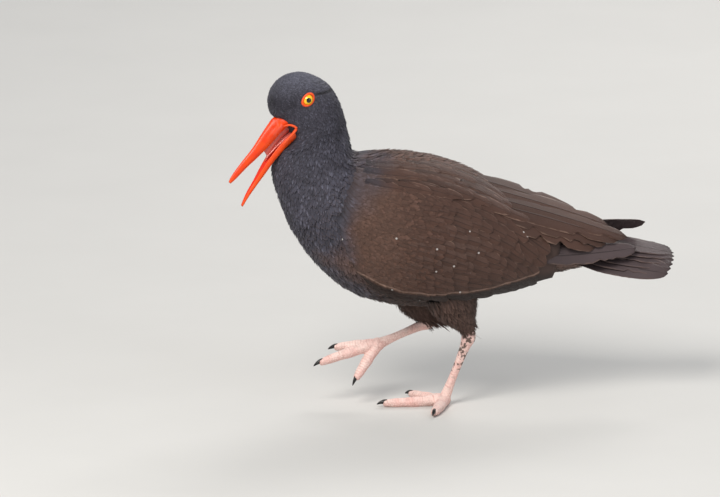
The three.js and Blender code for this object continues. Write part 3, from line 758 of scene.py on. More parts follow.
def plumage_colour(paint, looks, under=0.9):
    """The markings that skin and coat share: slate head, neck and breast, brown body, with painted shade on
    the underside, painted sky light on the crown and a painted shadow along the fold behind the eye.

    Besides the colour it gives the share of slate and the slate colour. Under is how much of the underside's
    painted shade it takes.
    """
    x, _, z = paint.parts(paint.place())
    border = paint.most(z - BORDER_Z, 0.0) * 0.33 + paint.most(BORDER_Z - z, 0.0) * 0.6 - BORDER_BACK
    wander = (paint.noise(28, 3) - 0.5) * 0.07
    slate = paint.step(border - x + wander, -0.022, 0.020)
    # Painted shade of the underside: near-black below a height on the body
    belly = paint.step(z + wander * 0.3, 0.126, 0.104)
    brown = paint.blend(paint.noise(45, 3), looks["brown_dark"], looks["brown"])
    brown = paint.blend(belly * under, brown, looks["belly"])
    grey = paint.blend(paint.noise(70, 3), looks["slate_dark"], looks["slate"])
    # Painted light: the top of the head is lighter, as lit by the sky
    grey = paint.blend(paint.step(z, 0.270, 0.296) * 0.55, grey, looks["slate_pale"])
    # Painted shadow: a near-black line along the crease behind the eye
    crease_shade = paint.near(z, CREASE_SHADE_Z, 0.0018, 0.0006)
    crease_shade = crease_shade * paint.step(x, -0.116, -0.111) * paint.step(x, -0.092, -0.099)
    lores = paint.near(z, LORES_Z, 0.008, 0.002) * paint.step(x, -0.122, -0.130)
    grey = paint.blend(lores * 0.4, grey, looks["slate_dark"])
    grey = paint.blend(crease_shade * 0.8, grey, (0.006, 0.006, 0.008))
    return paint.blend(slate, brown, grey), slate, grey


def wing_edge(paint, colour, looks):
    """The folded wing's drawn marks: a lighter front, the shaded flank under a pale rim, and pale flecks.

    The rim follows two parabolas, one forward and one backward from its lowest point.
    """
    x, _, z = paint.parts(paint.place())
    fore, rear = paint.most(RIM_X - x, 0.0), paint.most(x - RIM_X, 0.0)
    above = z - RIM_Z - fore * fore * 5.2 - rear * rear * 1.5 + (paint.noise(60, 3) - 0.5) * 0.006
    front = paint.step(x, -0.015, -0.070) * paint.step(x, -0.100, -0.074)
    colour = paint.blend(front * 0.2, colour, looks["worn"])
    # Painted shade of the flank below the wing's pale rim
    colour = paint.blend(paint.step(above, 0.001, -0.0015) * 0.85, colour, looks["belly"])
    rim = paint.near(above, 0.0016, 0.0011, 0.0003)
    colour = paint.blend(rim * paint.noise(150, 3), colour, looks["worn_long"])
    return paint.blend(paint.step(paint.cells(80), 0.085, 0.06) * 0.75, colour, looks["fleck"])


def coat_paint(name, looks, fringe=0.35, under=0.9, wing=False):
    """Small feathers: the shared markings, painted shade at the root, paler worn edges, painted glints as
    pale streaks near some tips.
    """
    paint = Paint(name, roughness=0.62, Sheen_Weight=0.05, Sheen_Roughness=0.4, Specular_IOR_Level=0.25)
    colour, slate, _ = plumage_colour(paint, looks, under)
    u, v = paint.chart("Feather")
    tone = paint.number("tone")
    off = paint.maths("ABSOLUTE", u - 0.5) * 2
    edge = paint.most(paint.step(off, 0.5, 1.0), paint.step(v, 0.72, 1.0))
    colour = paint.blend(edge * (1 - slate * 0.6) * fringe, colour, looks["worn"])
    # A random tone for each feather, times painted shade towards the root, where the next feather overlaps it
    colour = paint.tint(colour, (0.66 + tone * 0.6) * (0.5 + paint.held(v * 1.6) * 0.5))
    # Painted highlights: pale marks along the shaft near the tip of some feathers, as glints, mostly on the
    # slate
    tip_glint = paint.step(off, 0.5, 0.1) * paint.step(v, 0.45, 0.8) * paint.step(tone, 0.82, 0.95)
    colour = paint.blend(tip_glint * (0.05 + slate * 0.5), colour, looks["slate_pale"])
    paint.base(wing_edge(paint, colour, looks) if wing else colour)
    barbs = paint.maths("SINE", v * 46 + off * 16)
    paint.relief(barbs * 0.5 + paint.step(off, 0.25, 0.0), 0.00015, 0.6)
    return paint.material


def skin_paint(name, looks):
    """Skin under the coat: the shared markings, dark, with a fine grain."""
    paint = Paint(name, roughness=0.85)
    colour, _, _ = plumage_colour(paint, looks)
    paint.base(paint.tint(colour, 0.55))
    paint.relief(paint.noise(900, 2), 0.0004, 0.5)
    return paint.material


def vane_paint(name, looks, ground, worn, edge_share=0.5, wing=False):
    """Long feathers: a dark shaft, slanting barbs, a worn pale edge, a darker tip and painted shade towards
    the root.
    """
    paint = Paint(name, roughness=0.55, Sheen_Weight=0.03, Specular_IOR_Level=0.28)
    u, v = paint.chart("Feather")
    tone = paint.number("tone")
    off = paint.maths("ABSOLUTE", u - 0.5) * 2
    speckle = paint.noise(160, 3)
    colour = paint.blend(paint.noise(40, 3), ground, tuple(c * 0.72 for c in ground))
    edge = paint.step(off + (speckle - 0.5) * 0.35, 0.86, 1.02)
    colour = paint.blend(edge * edge_share, colour, worn)
    _, slate, grey = plumage_colour(paint, looks)
    colour = paint.tint(paint.blend(slate * 0.85, colour, grey), 0.9 + tone * 0.2)
    colour = paint.blend(paint.step(v, 0.8, 1.0) * 0.35, colour, tuple(c * 0.45 for c in ground))
    shaft = paint.step(off, 0.07, 0.025) * paint.step(v, 0.97, 0.85)
    colour = paint.blend(shaft * 0.75, colour, tuple(c * 0.3 for c in ground))
    barbs = paint.maths("SINE", v * 420 - off * 60)
    # Barbs, times painted shade towards the root, where the next feather overlaps it
    colour = paint.tint(colour, (1.0 + barbs * 0.05) * (0.55 + paint.held(v * 1.5) * 0.45))
    paint.base(wing_edge(paint, colour, looks) if wing else colour)
    paint.relief(barbs * 0.35 + shaft * 1.5, 0.00025, 0.6)
    return paint.material


def bill_paint(name, looks, lower):
    """Horn: orange-red, more orange at the upper half's edges and on the lower half.

    The base has pale scuffs, and the hollow along the lower half's top is red.
    """
    paint = Paint(name, roughness=0.4, Coat_Roughness=0.2, Specular_IOR_Level=0.3)
    u, v = paint.chart("Surface")
    red, orange = looks["bill_red"], looks["bill_orange"]
    start = paint.blend(paint.noise(120, 3), red, orange)
    edge = paint.step(u, 0.55, 0.9) * 0.5
    colour = paint.blend(edge + (0.45 if lower else 0.0), start, orange)
    if lower:
        colour = paint.blend(paint.step(u, 0.32, 0.12) * 0.8, colour, red)
    scuffs = paint.step(paint.noise(420, 4, paint.stretched(1, 1, 0.5)), 0.44, 0.62)
    scuffs = scuffs * paint.step(v, 0.55, 0.15)
    colour = paint.blend(scuffs * (0.2 if lower else 0.6), colour, looks["bill_scuff"])
    colour = paint.blend(paint.step(v, 0.86, 1.0) * 0.5, colour, looks["bill_tip"])
    paint.base(paint.tint(colour, 0.86 + paint.noise(60, 3) * 0.26))
    paint.put(paint.shader.inputs["Roughness"], 0.34 + paint.noise(300, 3) * 0.24)
    paint.put(paint.shader.inputs["Coat Weight"], 0.14 - scuffs * 0.1)
    paint.relief(paint.noise(350, 4) + scuffs * 0.6, 0.0003, 0.5)
    return paint.material


# The pupil's edge in the eye's map, which runs from 0 in front to 1 behind
PUPIL = (0.128, 0.138)


def eye_paint(name, looks):
    """Eye: black pupil, yellow iris with fine rays and a dark outer rim, under a wet surface."""
    paint = Paint(name, roughness=0.12, Coat_Weight=0.5, Coat_Roughness=0.03, Specular_IOR_Level=0.4)
    _, v = paint.chart("Surface")
    rays = paint.noise(1400, 2)
    iris = paint.blend(paint.step(v, 0.12, 0.34), looks["iris_inner"], looks["iris"])
    iris = paint.tint(iris, 0.82 + rays * 0.36)
    iris = paint.blend(paint.step(v, 0.31, 0.37), iris, looks["iris_rim"])
    paint.base(paint.blend(paint.step(v + (rays - 0.5) * 0.01, *PUPIL), (0.002, 0.002, 0.002), iris))
    return paint.material


def lid_paint(name, looks):
    """Fleshy lid: orange-red with fine folds across it."""
    paint = Paint(name, roughness=0.42, Specular_IOR_Level=0.5)
    _, v = paint.chart("Surface")
    grain = paint.noise(900, 3)
    paint.base(paint.blend(grain, looks["lid"], looks["lid_light"]))
    paint.relief(paint.maths("SINE", v * 260) * 0.3 + grain, 0.0003, 0.6)
    return paint.material


# Length of one of the large scales down the front of the shank
SCUTE_LENGTH = 2.3


def leg_paint(name, looks):
    """Leg skin: rows of pale pink scutes in front, a net of small scales elsewhere, darker in the seams."""
    paint = Paint(name, roughness=0.55, Specular_IOR_Level=0.4)
    along, front, mud = paint.number("along"), paint.number("front"), paint.number("mud")
    row = paint.maths("ABSOLUTE", paint.maths("FRACT", along / SCUTE_LENGTH) - 0.5) * 2
    scute = paint.step(row, 1.0, 0.72)
    net = paint.step(paint.cells(620, "DISTANCE_TO_EDGE"), 0.02, 0.16)
    height = front * scute + (1 - front) * net
    blotch = paint.noise(90, 3)
    colour = paint.blend(paint.step(blotch, 0.35, 0.7), looks["leg"], looks["leg_flush"])
    colour = paint.blend(paint.noise(500, 2) * 0.3, colour, looks["leg_pale"])
    colour = paint.blend((1 - height) * 0.5, colour, looks["leg_seam"])
    spots = paint.step(paint.noise(330, 3), 0.5, 0.6) * mud
    colour = paint.blend(spots * 0.9, colour, looks["mud"])
    paint.base(colour)
    paint.relief(height * 0.7 + spots * 0.5 + paint.noise(1200, 2) * 0.2, 0.0005, 0.8)
    return paint.material


def claw_paint(name):
    """Horn of the claws: black, browner at the root, with a dull shine."""
    paint = Paint(name, roughness=0.38, Specular_IOR_Level=0.5)
    _, v = paint.chart("Surface")
    paint.base(paint.blend(paint.step(v, 0.0, 0.35), (0.05, 0.032, 0.026), (0.008, 0.007, 0.007)))
    paint.relief(paint.noise(700, 3, paint.stretched(0.3, 1, 1)), 0.0002, 0.5)
    return paint.material


def tongue_paint(name):
    """Moist flesh of the tongue and mouth."""
    paint = Paint(name, roughness=0.25, Coat_Weight=0.4, Specular_IOR_Level=0.5)
    paint.base(paint.blend(paint.noise(500, 3), (0.42, 0.045, 0.035), (0.62, 0.12, 0.09)))
    paint.relief(paint.noise(900, 3), 0.0003, 0.5)
    return paint.material


# Sizes and colours that a user would change


def colour_choice(name, description, default):
    return bpy.props.FloatVectorProperty(
        name=name, description=description, subtype="COLOR", size=3, min=0, max=1, default=default
    )


def length_choice(name, description, default, **limits):
    return bpy.props.FloatProperty(
        name=name, description=description, default=default, subtype="DISTANCE", unit="LENGTH", **limits
    )


def angle_choice(name, description, degrees):
    return bpy.props.FloatProperty(
        name=name, description=description, default=math.radians(degrees), subtype="ANGLE", unit="ROTATION"
    )


class OystercatcherPlumage(bpy.types.PropertyGroup):
    slate: colour_choice("Slate", "Head, neck and breast feathers", (0.078, 0.077, 0.106))
    # Painted light: the sky-lit crown and the glints at the tips of the head's feathers
    slate_pale: colour_choice("Pale slate", "Crown and the pale streaks of the head", (0.180, 0.186, 0.240))
    slate_dark: colour_choice("Dark slate", "Darker patches of head, neck and breast", (0.024, 0.023, 0.032))
    brown: colour_choice("Brown", "Body feathers", (0.155, 0.090, 0.074))
    brown_dark: colour_choice("Dark brown", "Darker patches of the body", (0.048, 0.024, 0.018))
    # Painted shade: near-black for the shaded underside and the shaded flank below the wing's rim
    belly: colour_choice("Belly", "Belly feathers", (0.012, 0.007, 0.006))
    worn: colour_choice("Worn edge", "Faded edges of small feathers", (0.190, 0.115, 0.085))
    wing: colour_choice("Wing", "Long feathers of the shoulder and wing", (0.084, 0.040, 0.028))
    flight: colour_choice("Flight feathers", "Primaries and tail", (0.086, 0.060, 0.062))
    worn_long: colour_choice("Worn long edge", "Faded edges of long feathers", (0.330, 0.210, 0.160))
    fleck: colour_choice("Flecks", "Small pale flecks on the wing", (0.60, 0.56, 0.54))
    depth: length_choice("Coat depth", "From the solids in to the skin", 0.0022, min=0.0005, max=0.006)


class OystercatcherBareParts(bpy.types.PropertyGroup):
    bill_red: colour_choice("Bill", "Upper half of the bill", (0.72, 0.012, 0.001))
    bill_orange: colour_choice("Bill edge", "Lower half and cutting edges", (0.86, 0.085, 0.001))
    bill_scuff: colour_choice("Bill scuffs", "Pale worn horn near the base", (0.78, 0.16, 0.12))
    bill_tip: colour_choice("Bill tip", "Worn tip of the bill", (0.62, 0.085, 0.012))
    iris: colour_choice("Iris", "Outer part of the iris", (0.93, 0.42, 0.003))
    iris_inner: colour_choice("Inner iris", "Iris next to the pupil", (0.95, 0.60, 0.01))
    iris_rim: colour_choice("Iris rim", "Dark rim of the iris", (0.35, 0.09, 0.01))
    lid: colour_choice("Lid", "Ring of the lids", (0.86, 0.045, 0.004))
    lid_light: colour_choice("Lid folds", "Lighter folds of the lids", (0.94, 0.13, 0.01))
    leg: colour_choice("Leg", "Scales of the legs", (0.90, 0.66, 0.60))
    leg_flush: colour_choice("Leg flush", "Pinker skin of the legs", (0.86, 0.50, 0.45))
    leg_pale: colour_choice("Leg wear", "Palest scales", (0.92, 0.76, 0.69))
    leg_seam: colour_choice("Leg seams", "Lines between the scales", (0.60, 0.28, 0.23))
    mud: colour_choice("Dried mud", "Specks on the standing leg", (0.06, 0.040, 0.028))


class OystercatcherStage(bpy.types.PropertyGroup):
    azimuth: angle_choice("View azimuth", "How far the camera stands towards the bird's front", 10)
    elevation: angle_choice("View elevation", "How far the camera looks down", 14)
    distance: length_choice("Camera distance", "From the middle of the view", 16.0, min=1, max=60)
    pixel: length_choice("Size of a pixel", "At the bird, in a picture 720 pixels wide", 0.00084, precision=5)
    floor_colour: colour_choice("Floor", "Plain pale floor", (0.62, 0.61, 0.59))


def colours(group):
    """A property group's colours by name."""
    names = [key for key in type(group).__annotations__ if key != "depth"]
    return {key: tuple(getattr(group, key)) for key in names}


def material_once(name, make, *given, **named):
    """A material by name, made when it is first asked for. The solids' own materials have other names."""
    name = "look_" + name
    return bpy.data.materials.get(name) or make(name, *given, **named)


# Body


def circle(columns):
    """Angles round a ring, from underneath over one side, the back and the other side."""
    return np.linspace(-math.pi, math.pi, columns, endpoint=False)


def trunk_rings(depth, rows=110, columns=88):
    """Rings of trunk, neck and head under the coat, which is thinner on the head."""
    t, angle = np.meshgrid(np.linspace(NUDGE, LAST - NUDGE, rows), circle(columns), indexing="ij")
    return body_point(t, angle, -depth * mix(1.0, 0.45, smooth((t - 10) / 4)))


def thigh_rings(word, depth, rows=24, columns=36):
    """Rings of a thigh under its coat. They end a little above the ankle."""
    s, angle = np.meshgrid(np.linspace(0, 0.95, rows), circle(columns), indexing="ij")
    return on_thigh(word, depth)(s, angle, np.zeros_like(s))


def fused(name, meshes, voxel, smoothing):
    """Closed meshes made one by remeshing to small voxels, with the steps then smoothed away."""
    objects = []
    for mesh in meshes:
        part = bpy.data.objects.new(name + "_part", mesh)
        bpy.context.scene.collection.objects.link(part)
        objects.append(part)
    first = objects[0]
    with bpy.context.temp_override(active_object=first, selected_editable_objects=objects, object=first):
        bpy.ops.object.join()
    remesh = first.modifiers.new("remesh", "REMESH")
    remesh.mode = "VOXEL"
    remesh.voxel_size = voxel * MM
    remesh.use_smooth_shade = True
    soften = first.modifiers.new("soften", "SMOOTH")
    soften.factor = 0.5
    soften.iterations = smoothing
    ready = first.evaluated_get(bpy.context.evaluated_depsgraph_get())
    mesh = bpy.data.meshes.new_from_object(ready)
    mesh.name = name
    bpy.data.objects.remove(first)
    mesh.polygons.foreach_set("use_smooth", np.ones(len(mesh.polygons), bool))
    return mesh


def near_eye(points, room):
    """Whether points lie within the bare oval round the eye, grown by some room."""
    found = np.zeros(points.shape[:-1], bool)
    for side in SIDES.values():
        back, out, up = head_parts(points - head_point(EYE_BACK, side * (EYE_OUT + 3), EYE_UP))
        long = back * math.cos(LID_SLANT) + up * math.sin(LID_SLANT)
        short = up * math.cos(LID_SLANT) - back * math.sin(LID_SLANT)
        inside = (long / (BARE_LONG + room)) ** 2 + (short / (BARE_SHORT + room)) ** 2 < 1
        found |= inside & (out * side > -4)
    return found


def near_bill(points, room):
    """Whether points lie within the two halves of the bill near their root, grown by some room."""
    back, out, up = head_parts(points - np.array([NECK_X, 0, 0]))
    found = np.zeros(points.shape[:-1], bool)
    for table in (BILL_UPPER, BILL_LOWER):
        for step in np.linspace(0.4, 3.5, 18):
            top_x, top_z, low_x, low_z, half = spline(table, np.array(step))
            reach = 0.5 * math.hypot(top_x - low_x, top_z - low_z) + room
            away = np.hypot(back - (top_x + low_x) / 2, up - (top_z + low_z) / 2)
            found |= (away < reach) & (np.abs(out) < half + room)
    return found


class OYSTERCATCHER_OT_skin(bpy.types.Operator):
    """Make the one skin of trunk, neck, head and thighs"""

    bl_idname = "oystercatcher.skin"
    bl_label = "Skin"

    def execute(self, context):
        settings = context.scene.oystercatcher_plumage
        depth = settings.depth / MM
        meshes = [loft_mesh("trunk", trunk_rings(depth))]
        meshes += [loft_mesh("thigh", thigh_rings(word, depth)) for word in SIDES]
        mesh = fused("skin", meshes, voxel=1.6, smoothing=6)
        material = material_once("skin", skin_paint, colours(settings))
        nodes = ("torso", "neck", "head", "thigh_left", "thigh_right")
        put_piece("skin", mesh, material, nodes)
        return {"FINISHED"}


def down_lean(t, a):
    """Feathers of the body point a little down the side, most of all half way down it."""
    return 0.28 * np.sin(np.abs(a)) ** 2


def clear_of_face(t, a):
    """Whether a feather of the head stays clear of the lids and the bill."""
    points = on_head(0.0)(t, a, np.zeros_like(t))
    back, _, up = head_axes(1)
    return ~near_eye(points + back * 1.1 - up * 0.3, 0.5) & ~near_bill(points, 0.3)


def clear_of_wing(t, a):
    """Whether a root of the body isn't hidden by the folded wing."""
    size = np.abs(a)
    under = (size > wing_top(t) + 0.25) & (size < wing_low(t) - 0.12)
    return ~(under & (t > WING_REAR + 0.5) & (t < WING_FRONT - 0.6))


class OYSTERCATCHER_OT_coat(bpy.types.Operator):
    """Make the small feathers of head, neck, trunk and thighs"""

    bl_idname = "oystercatcher.coat"
    bl_label = "Coat"

    def execute(self, context):
        settings = context.scene.oystercatcher_plumage
        looks, depth = colours(settings), settings.depth / MM
        material = material_once("coat", coat_paint, looks)
        soft = material_once("coat_slate", coat_paint, looks, fringe=0.2)
        loose = material_once("coat_thigh", coat_paint, looks, fringe=0.5, under=0.35)
        coat_piece(
            "coat_head", on_head(depth * 0.45), (12.2, LAST + 0.9), WHOLE_TURN,
            ramp(13.5, 4.5, (1.25, 0.8), ease=smooth), ramp(13.5, 4.5, (4.6, 2.4), (1.9, 1.1), ease=smooth),
            down_lean, 0.16, soft, 11, clear_of_face,
        )
        coat_piece(
            "coat_neck", on_body(depth * 0.75), (9.2, 12.6), WHOLE_TURN,
            ramp(9.2, 3.4, (1.85, 1.3)), ramp(9.2, 3.4, (8.5, 5.0), (3.4, 2.1)),
            down_lean, 0.13, soft, 12,
        )
        coat_piece(
            "coat_breast", on_body(depth), (6.0, 9.5), WHOLE_TURN,
            ramp(6, 3.5, (2.5, 1.9)), ramp(6, 3.5, (12.0, 8.5), (5.0, 3.5)),
            down_lean, 0.11, material, 13, clear_of_wing,
        )
        coat_piece(
            "coat_rear", on_body(depth), (0.15, 6.2), WHOLE_TURN,
            ramp(1, 5, (2.3, 2.6)), ramp(0, 4, (16.0, 13.0), (5.4, 5.2)),
            down_lean, 0.09, material, 14, clear_of_wing,
        )
        for word, side in SIDES.items():
            low_end = 0.12 if word == "left" else 0.02
            coat_piece(
                "coat_thigh_" + word, on_thigh(word, depth), (low_end, 1.0), WHOLE_TURN,
                ramp(0, 1, (0.95, 1.7), ease=smooth), ramp(0, 1, (8.0, 11.0), (1.3, 2.4)),
                lambda t, a: 0.0 * t, 0.24, loose, 15 + side, fray=0.6,
            )
        return {"FINISHED"}


# Wings, shoulders and tail


def wing_bed(word):
    """The folded wing's own form under its feathers: the shell of the solid, a little lower."""
    side = SIDES[word]
    a, b = np.meshgrid(np.linspace(0.01, 0.99, 60), np.linspace(0.01, 0.99, 40), indexing="ij")
    t = mix(WING_REAR, WING_FRONT - 0.9 * np.abs(2 * b - 0.9) ** 2.2, a)
    angle = mix(wing_top(t), wing_low(t), b)
    top = body_point(t, side * angle, GAP + wing_rise(t, angle) * 0.86 - 0.3)
    under = body_point(t, side * angle, np.full_like(t, GAP + 0.1))
    return plate_mesh("wing_bed_" + word, top, under)


# How far each row of coverts lies behind the last, as a share of its length, and a section's usual length
COVERT_STEP = 0.36
SECTION_LENGTH = 30.0


def covert_roots(side, draw):
    """Rows of roots across the folded wing from front to rear, each row set half a feather off the last."""
    t_all, a_all = [], []
    t = WING_FRONT - 0.15
    row = 0
    while t > WING_REAR + 0.75:
        length, width = covert_size(t)
        place = np.array(t)
        low, high = float(wing_top(place)) - 0.02, float(wing_low(place)) - 0.05
        ends = skin_point(place, np.array(high)) - skin_point(place, np.array(low))
        count = max(3, int(float(np.linalg.norm(ends)) * 1.12 / (width * 0.62)))
        a = low + (np.arange(count) + 0.5 * (row % 2)) / count * (high - low)
        slant = 0.5 * np.sin((a - low) / (high - low) * math.pi)
        t_all.append(t + slant * 0.5 + draw.normal(0, 0.03, count))
        a_all.append(a + draw.normal(0, 0.012, count))
        t -= length * COVERT_STEP / SECTION_LENGTH
        row += 1
    return np.concatenate(t_all), side * np.concatenate(a_all)


def covert_size(t):
    """Length and width of a covert: short and round at the wing's front, long towards its rear."""
    share = float(np.clip((WING_FRONT - t) / (WING_FRONT - WING_REAR), 0, 1))
    return mix(11.0, 36.0, share**1.1), mix(7.0, 14.5, share**0.9)


def covert_lean(t, a):
    """Coverts turn more and more down the side towards the wing's rear and its middle."""
    down = np.clip((np.abs(a) - wing_top(t)) / (wing_low(t) - wing_top(t)), 0, 1)
    rear = smooth((5.0 - t) / 2.4)
    return mix(0.15, 0.3, down) + rear * 0.75 * np.sin(down * math.pi) ** 0.7


def covert_mesh(word):
    """The coverts of one wing as one mesh."""
    side = SIDES[word]
    draw = np.random.default_rng(31 + side)
    t, a = covert_roots(side, draw)
    sizes = np.array([covert_size(x) for x in t])
    length = sizes[:, 0] * draw.uniform(0.88, 1.12, len(t))
    width = sizes[:, 1] * draw.uniform(0.9, 1.1, len(t))
    lean = covert_lean(t, a) + draw.normal(0, 0.06, len(t))
    lift = draw.uniform(0.02, 0.05, len(t))
    points = lay_feathers(
        on_wing, t, a, length, width, lean, lift, 9, 7, draw, camber=0.22, sink=0.25, fray=0.25
    )
    spots = bake_spot(t, np.abs(a), (WING_REAR - 1, WING_FRONT + 1), (0.4, 2.8))
    return feather_mesh("coverts_" + word, points, spots, draw.random(len(t)), 0.01)


def on_wing_front(t, a):
    """Whether a small feather stays: inside the wing's edges, with fewer of them towards its rear."""
    size = np.abs(a)
    grain = np.mod(np.sin(t * 91.7 + a * 57.3) * 4375.85, 1.0)
    return (size > wing_top(t) - 0.1) & (size < wing_low(t) + 0.06) & (grain < smooth((t - 4.9) / 1.4))


class OYSTERCATCHER_OT_wings(bpy.types.Operator):
    """Make the folded wings: the form under the feathers, the coverts in rows and the small front feathers"""

    bl_idname = "oystercatcher.wings"
    bl_label = "Wings"

    def execute(self, context):
        looks = colours(context.scene.oystercatcher_plumage)
        brown = looks["wing"]
        covert = material_once("covert", vane_paint, looks, brown, looks["worn"], edge_share=0.55, wing=True)
        front = dict(looks, brown=brown, brown_dark=tuple(0.8 * c for c in brown))
        small = material_once("coat_wing", coat_paint, front, fringe=0.1, under=0.1, wing=True)
        under = material_once("skin", skin_paint, looks)
        for word, side in SIDES.items():
            put_piece("wing_bed_" + word, wing_bed(word), under, ("wing_" + word,))
            put_piece("coverts_" + word, covert_mesh(word), covert)
            angles = (0.5, 2.75) if side > 0 else (-2.75, -0.5)
            coat_piece(
                "wing_coat_" + word, on_wing, (5.2, WING_FRONT + 0.1), angles,
                ramp(6, 2, (2.6, 2.0), ease=smooth), ramp(5.2, 3, (12.0, 7.5), (5.2, 3.6)),
                lambda t, a: covert_lean(t, a) * 0.8, 0.05, small, 41 + side, on_wing_front,
            )
        return {"FINISHED"}


# Tiers of shoulder feathers, the lowest first: how many, the sections of the first and last root, their
# angles from the back in degrees, their lengths, the width, the lean and the height over the wing
SCAPULAR_TIERS = (
    (9, (7.5, 4.4), (49, 44), (26, 62), 12.0, 0.15, 0.8),
    (9, (7.6, 4.5), (37, 34), (24, 60), 11.5, 0.12, 0.5),
    (8, (7.6, 4.6), (26, 23), (22, 56), 11.0, 0.10, -0.5),
    (7, (7.4, 4.8), (15, 12), (22, 50), 10.0, 0.08, -1.5),
)


def over_wing(height):
    """The surface that the wing's feathers lie on, raised by a height."""
    return lambda t, a, out: on_wing(t, a, out + height)


def scapular_mesh(word):
    """Long shoulder feathers in tiers, over the wing's upper edge and the back, as one mesh."""
    side = SIDES[word]
    draw = np.random.default_rng(51 + side)
    made, spots, tones = [], [], []
    for count, sections, angles, lengths, wide, lean, height in SCAPULAR_TIERS:
        k = np.arange(count) / (count - 1)
        t = mix(*sections, k) + draw.normal(0, 0.05, count)
        a = side * np.radians(mix(*angles, k) + draw.normal(0, 1.0, count))
        length = mix(*lengths, k) * draw.uniform(0.94, 1.06, count)
        width = np.full(count, wide) * draw.uniform(0.9, 1.1, count)
        lift = draw.uniform(0.012, 0.028, count) + 0.02 * k * (height > 0.6)
        made.append(lay_feathers(
            over_wing(height), t, a, length, width, np.full(count, lean), lift, 9, 9, draw,
            camber=0.2, sink=0.2, fray=0.35,
        ))
        spots.append(bake_spot(t, np.abs(a), (2, 8), (0, 1.3)))
        tones.append(draw.random(count))
    return feather_mesh("scapulars_" + word, *map(np.concatenate, (made, spots, tones)), 0.012)


# Where each folded wing's tip lies, how much its upper flight feathers rise towards their tips, how much
# higher its inner feathers end, and how much shorter
WING_TIP = {"left": (161, 15, 133), "right": (174, 13, 148)}
TIP_RISE = {"left": 8, "right": 0}
INNER_LIFT = {"left": -2, "right": -5}
INNER_SHORT = {"left": 0, "right": 10}
PRIMARIES = 6


def primary_vanes(word):
    """Folded flight feathers, the longest lowest, with their tips stepped back."""
    side, (x, y, z) = SIDES[word], WING_TIP[word]
    vanes = []
    for k in np.linspace(0, 1, PRIMARIES):
        root = (66 + 6 * k, side * (36 - 3 * k), 134 + 8 * k)
        tip = (x - 48 * k**1.1, side * (y + 4 * k), z + TIP_RISE[word] * k)
        bend = (mix(root[0], tip[0], 0.55), side * mix(33, 27, k), mix(root[2], tip[2], 0.5) - 1)
        vanes.append(dict(
            root=root, bend=bend, tip=tip, face_root=(0.12, side, 0.3), face_tip=(0.1, side, 0.8), half=8.5,
            fray=0.35,
        ))
    return vanes


# Long inner feathers of the wing: root, tip, and how far out the middle lies
TERTIALS = (
    ((34, 37, 172), (124, 25, 139), 39),
    ((30, 34, 178), (134, 21, 141), 36),
    ((26, 30, 184), (146, 16, 142.5), 31),
    ((22, 26, 190), (154, 12, 143.5), 25),
    ((17, 19, 197), (138, 9, 154), 17),
    ((12, 12.5, 203), (112, 7.5, 166), 11),
)


def tertial_vanes(word):
    """Long inner wing feathers over the flight feathers, each higher and nearer to the back than the last."""
    side, lift = SIDES[word], INNER_LIFT[word]
    vanes = []
    for i, (start, end, out) in enumerate(TERTIALS):
        k = i / (len(TERTIALS) - 1)
        root = (start[0], side * start[1], start[2] + lift * 0.5)
        tip = (end[0] - INNER_SHORT[word], side * end[1], end[2] + lift)
        bend = (mix(root[0], tip[0], 0.5), side * out, mix(root[2], tip[2], 0.5) + 4.5)
        vanes.append(dict(
            root=root, bend=bend, tip=tip, face_root=(0.15, side, mix(0.9, 1.9, k)),
            face_tip=(0.1, side, mix(0.9, 1.5, k)), half=9.5, fray=0.6, camber=0.12,
        ))
    return vanes


TAIL_START = 97
TAIL_LENGTH = 98.0
TAIL_PAIRS = 6


def tail_vanes():
    """Tail feathers in pairs from the middle, which lies on top, outwards. The left side hangs lower."""
    vanes = []
    for i in range(TAIL_PAIRS):
        for side in SIDES.values():
            k = i / (TAIL_PAIRS - 1)
            root = (100, side * (1.5 + 7 * k), 145 - 8 * k - 0.9 * i + side * 6 * k)
            low = 124.5 - 3.2 * k**2.2 - 0.5 * i + side * 6.5 * k
            tip = (TAIL_START + TAIL_LENGTH - 9 * k * k, side * (4.5 + 22 * k), low)
            x, y, z = (mix(start, end, 0.5) for start, end in zip(root, tip))
            bend = (x, y, z + 1.5 - 2 * k)
            vanes.append(dict(
                root=root, bend=bend, tip=tip, face_root=(0.15, -0.3, 1),
                face_tip=(0.15, side * 1.1 * k**1.6 - 0.35, 1), half=10.3, blunt=0.6, fray=0.3, camber=0.04,
                rows=30,
            ))
    return vanes


class OYSTERCATCHER_OT_long_feathers(bpy.types.Operator):
    """Make the shoulder feathers, the long inner wing feathers, the flight feathers and the tail"""

    bl_idname = "oystercatcher.long_feathers"
    bl_label = "Long feathers"

    def execute(self, context):
        looks = colours(context.scene.oystercatcher_plumage)
        worn = looks["worn_long"]
        shoulder = material_once("shoulder", vane_paint, looks, looks["wing"], worn, edge_share=0.5)
        flight = material_once("flight", vane_paint, looks, looks["flight"], worn, edge_share=0.3)
        for word, side in SIDES.items():
            mesh = scapular_mesh(word)
            put_piece("shoulder_" + word, mesh, shoulder, ("scapulars_" + word,))
            vane_piece(
                "inner_wing_" + word, tertial_vanes(word), shoulder, 61 + side,
                ("tertials_" + word,),
            )
            vane_piece(
                "outer_wing_" + word, primary_vanes(word), flight, 71 + side,
                ("primaries_" + word,),
            )
        vane_piece("tail_fan", tail_vanes(), flight, 81, ("tail",))
        return {"FINISHED"}


# Head: bill, tongue, eyes and lids


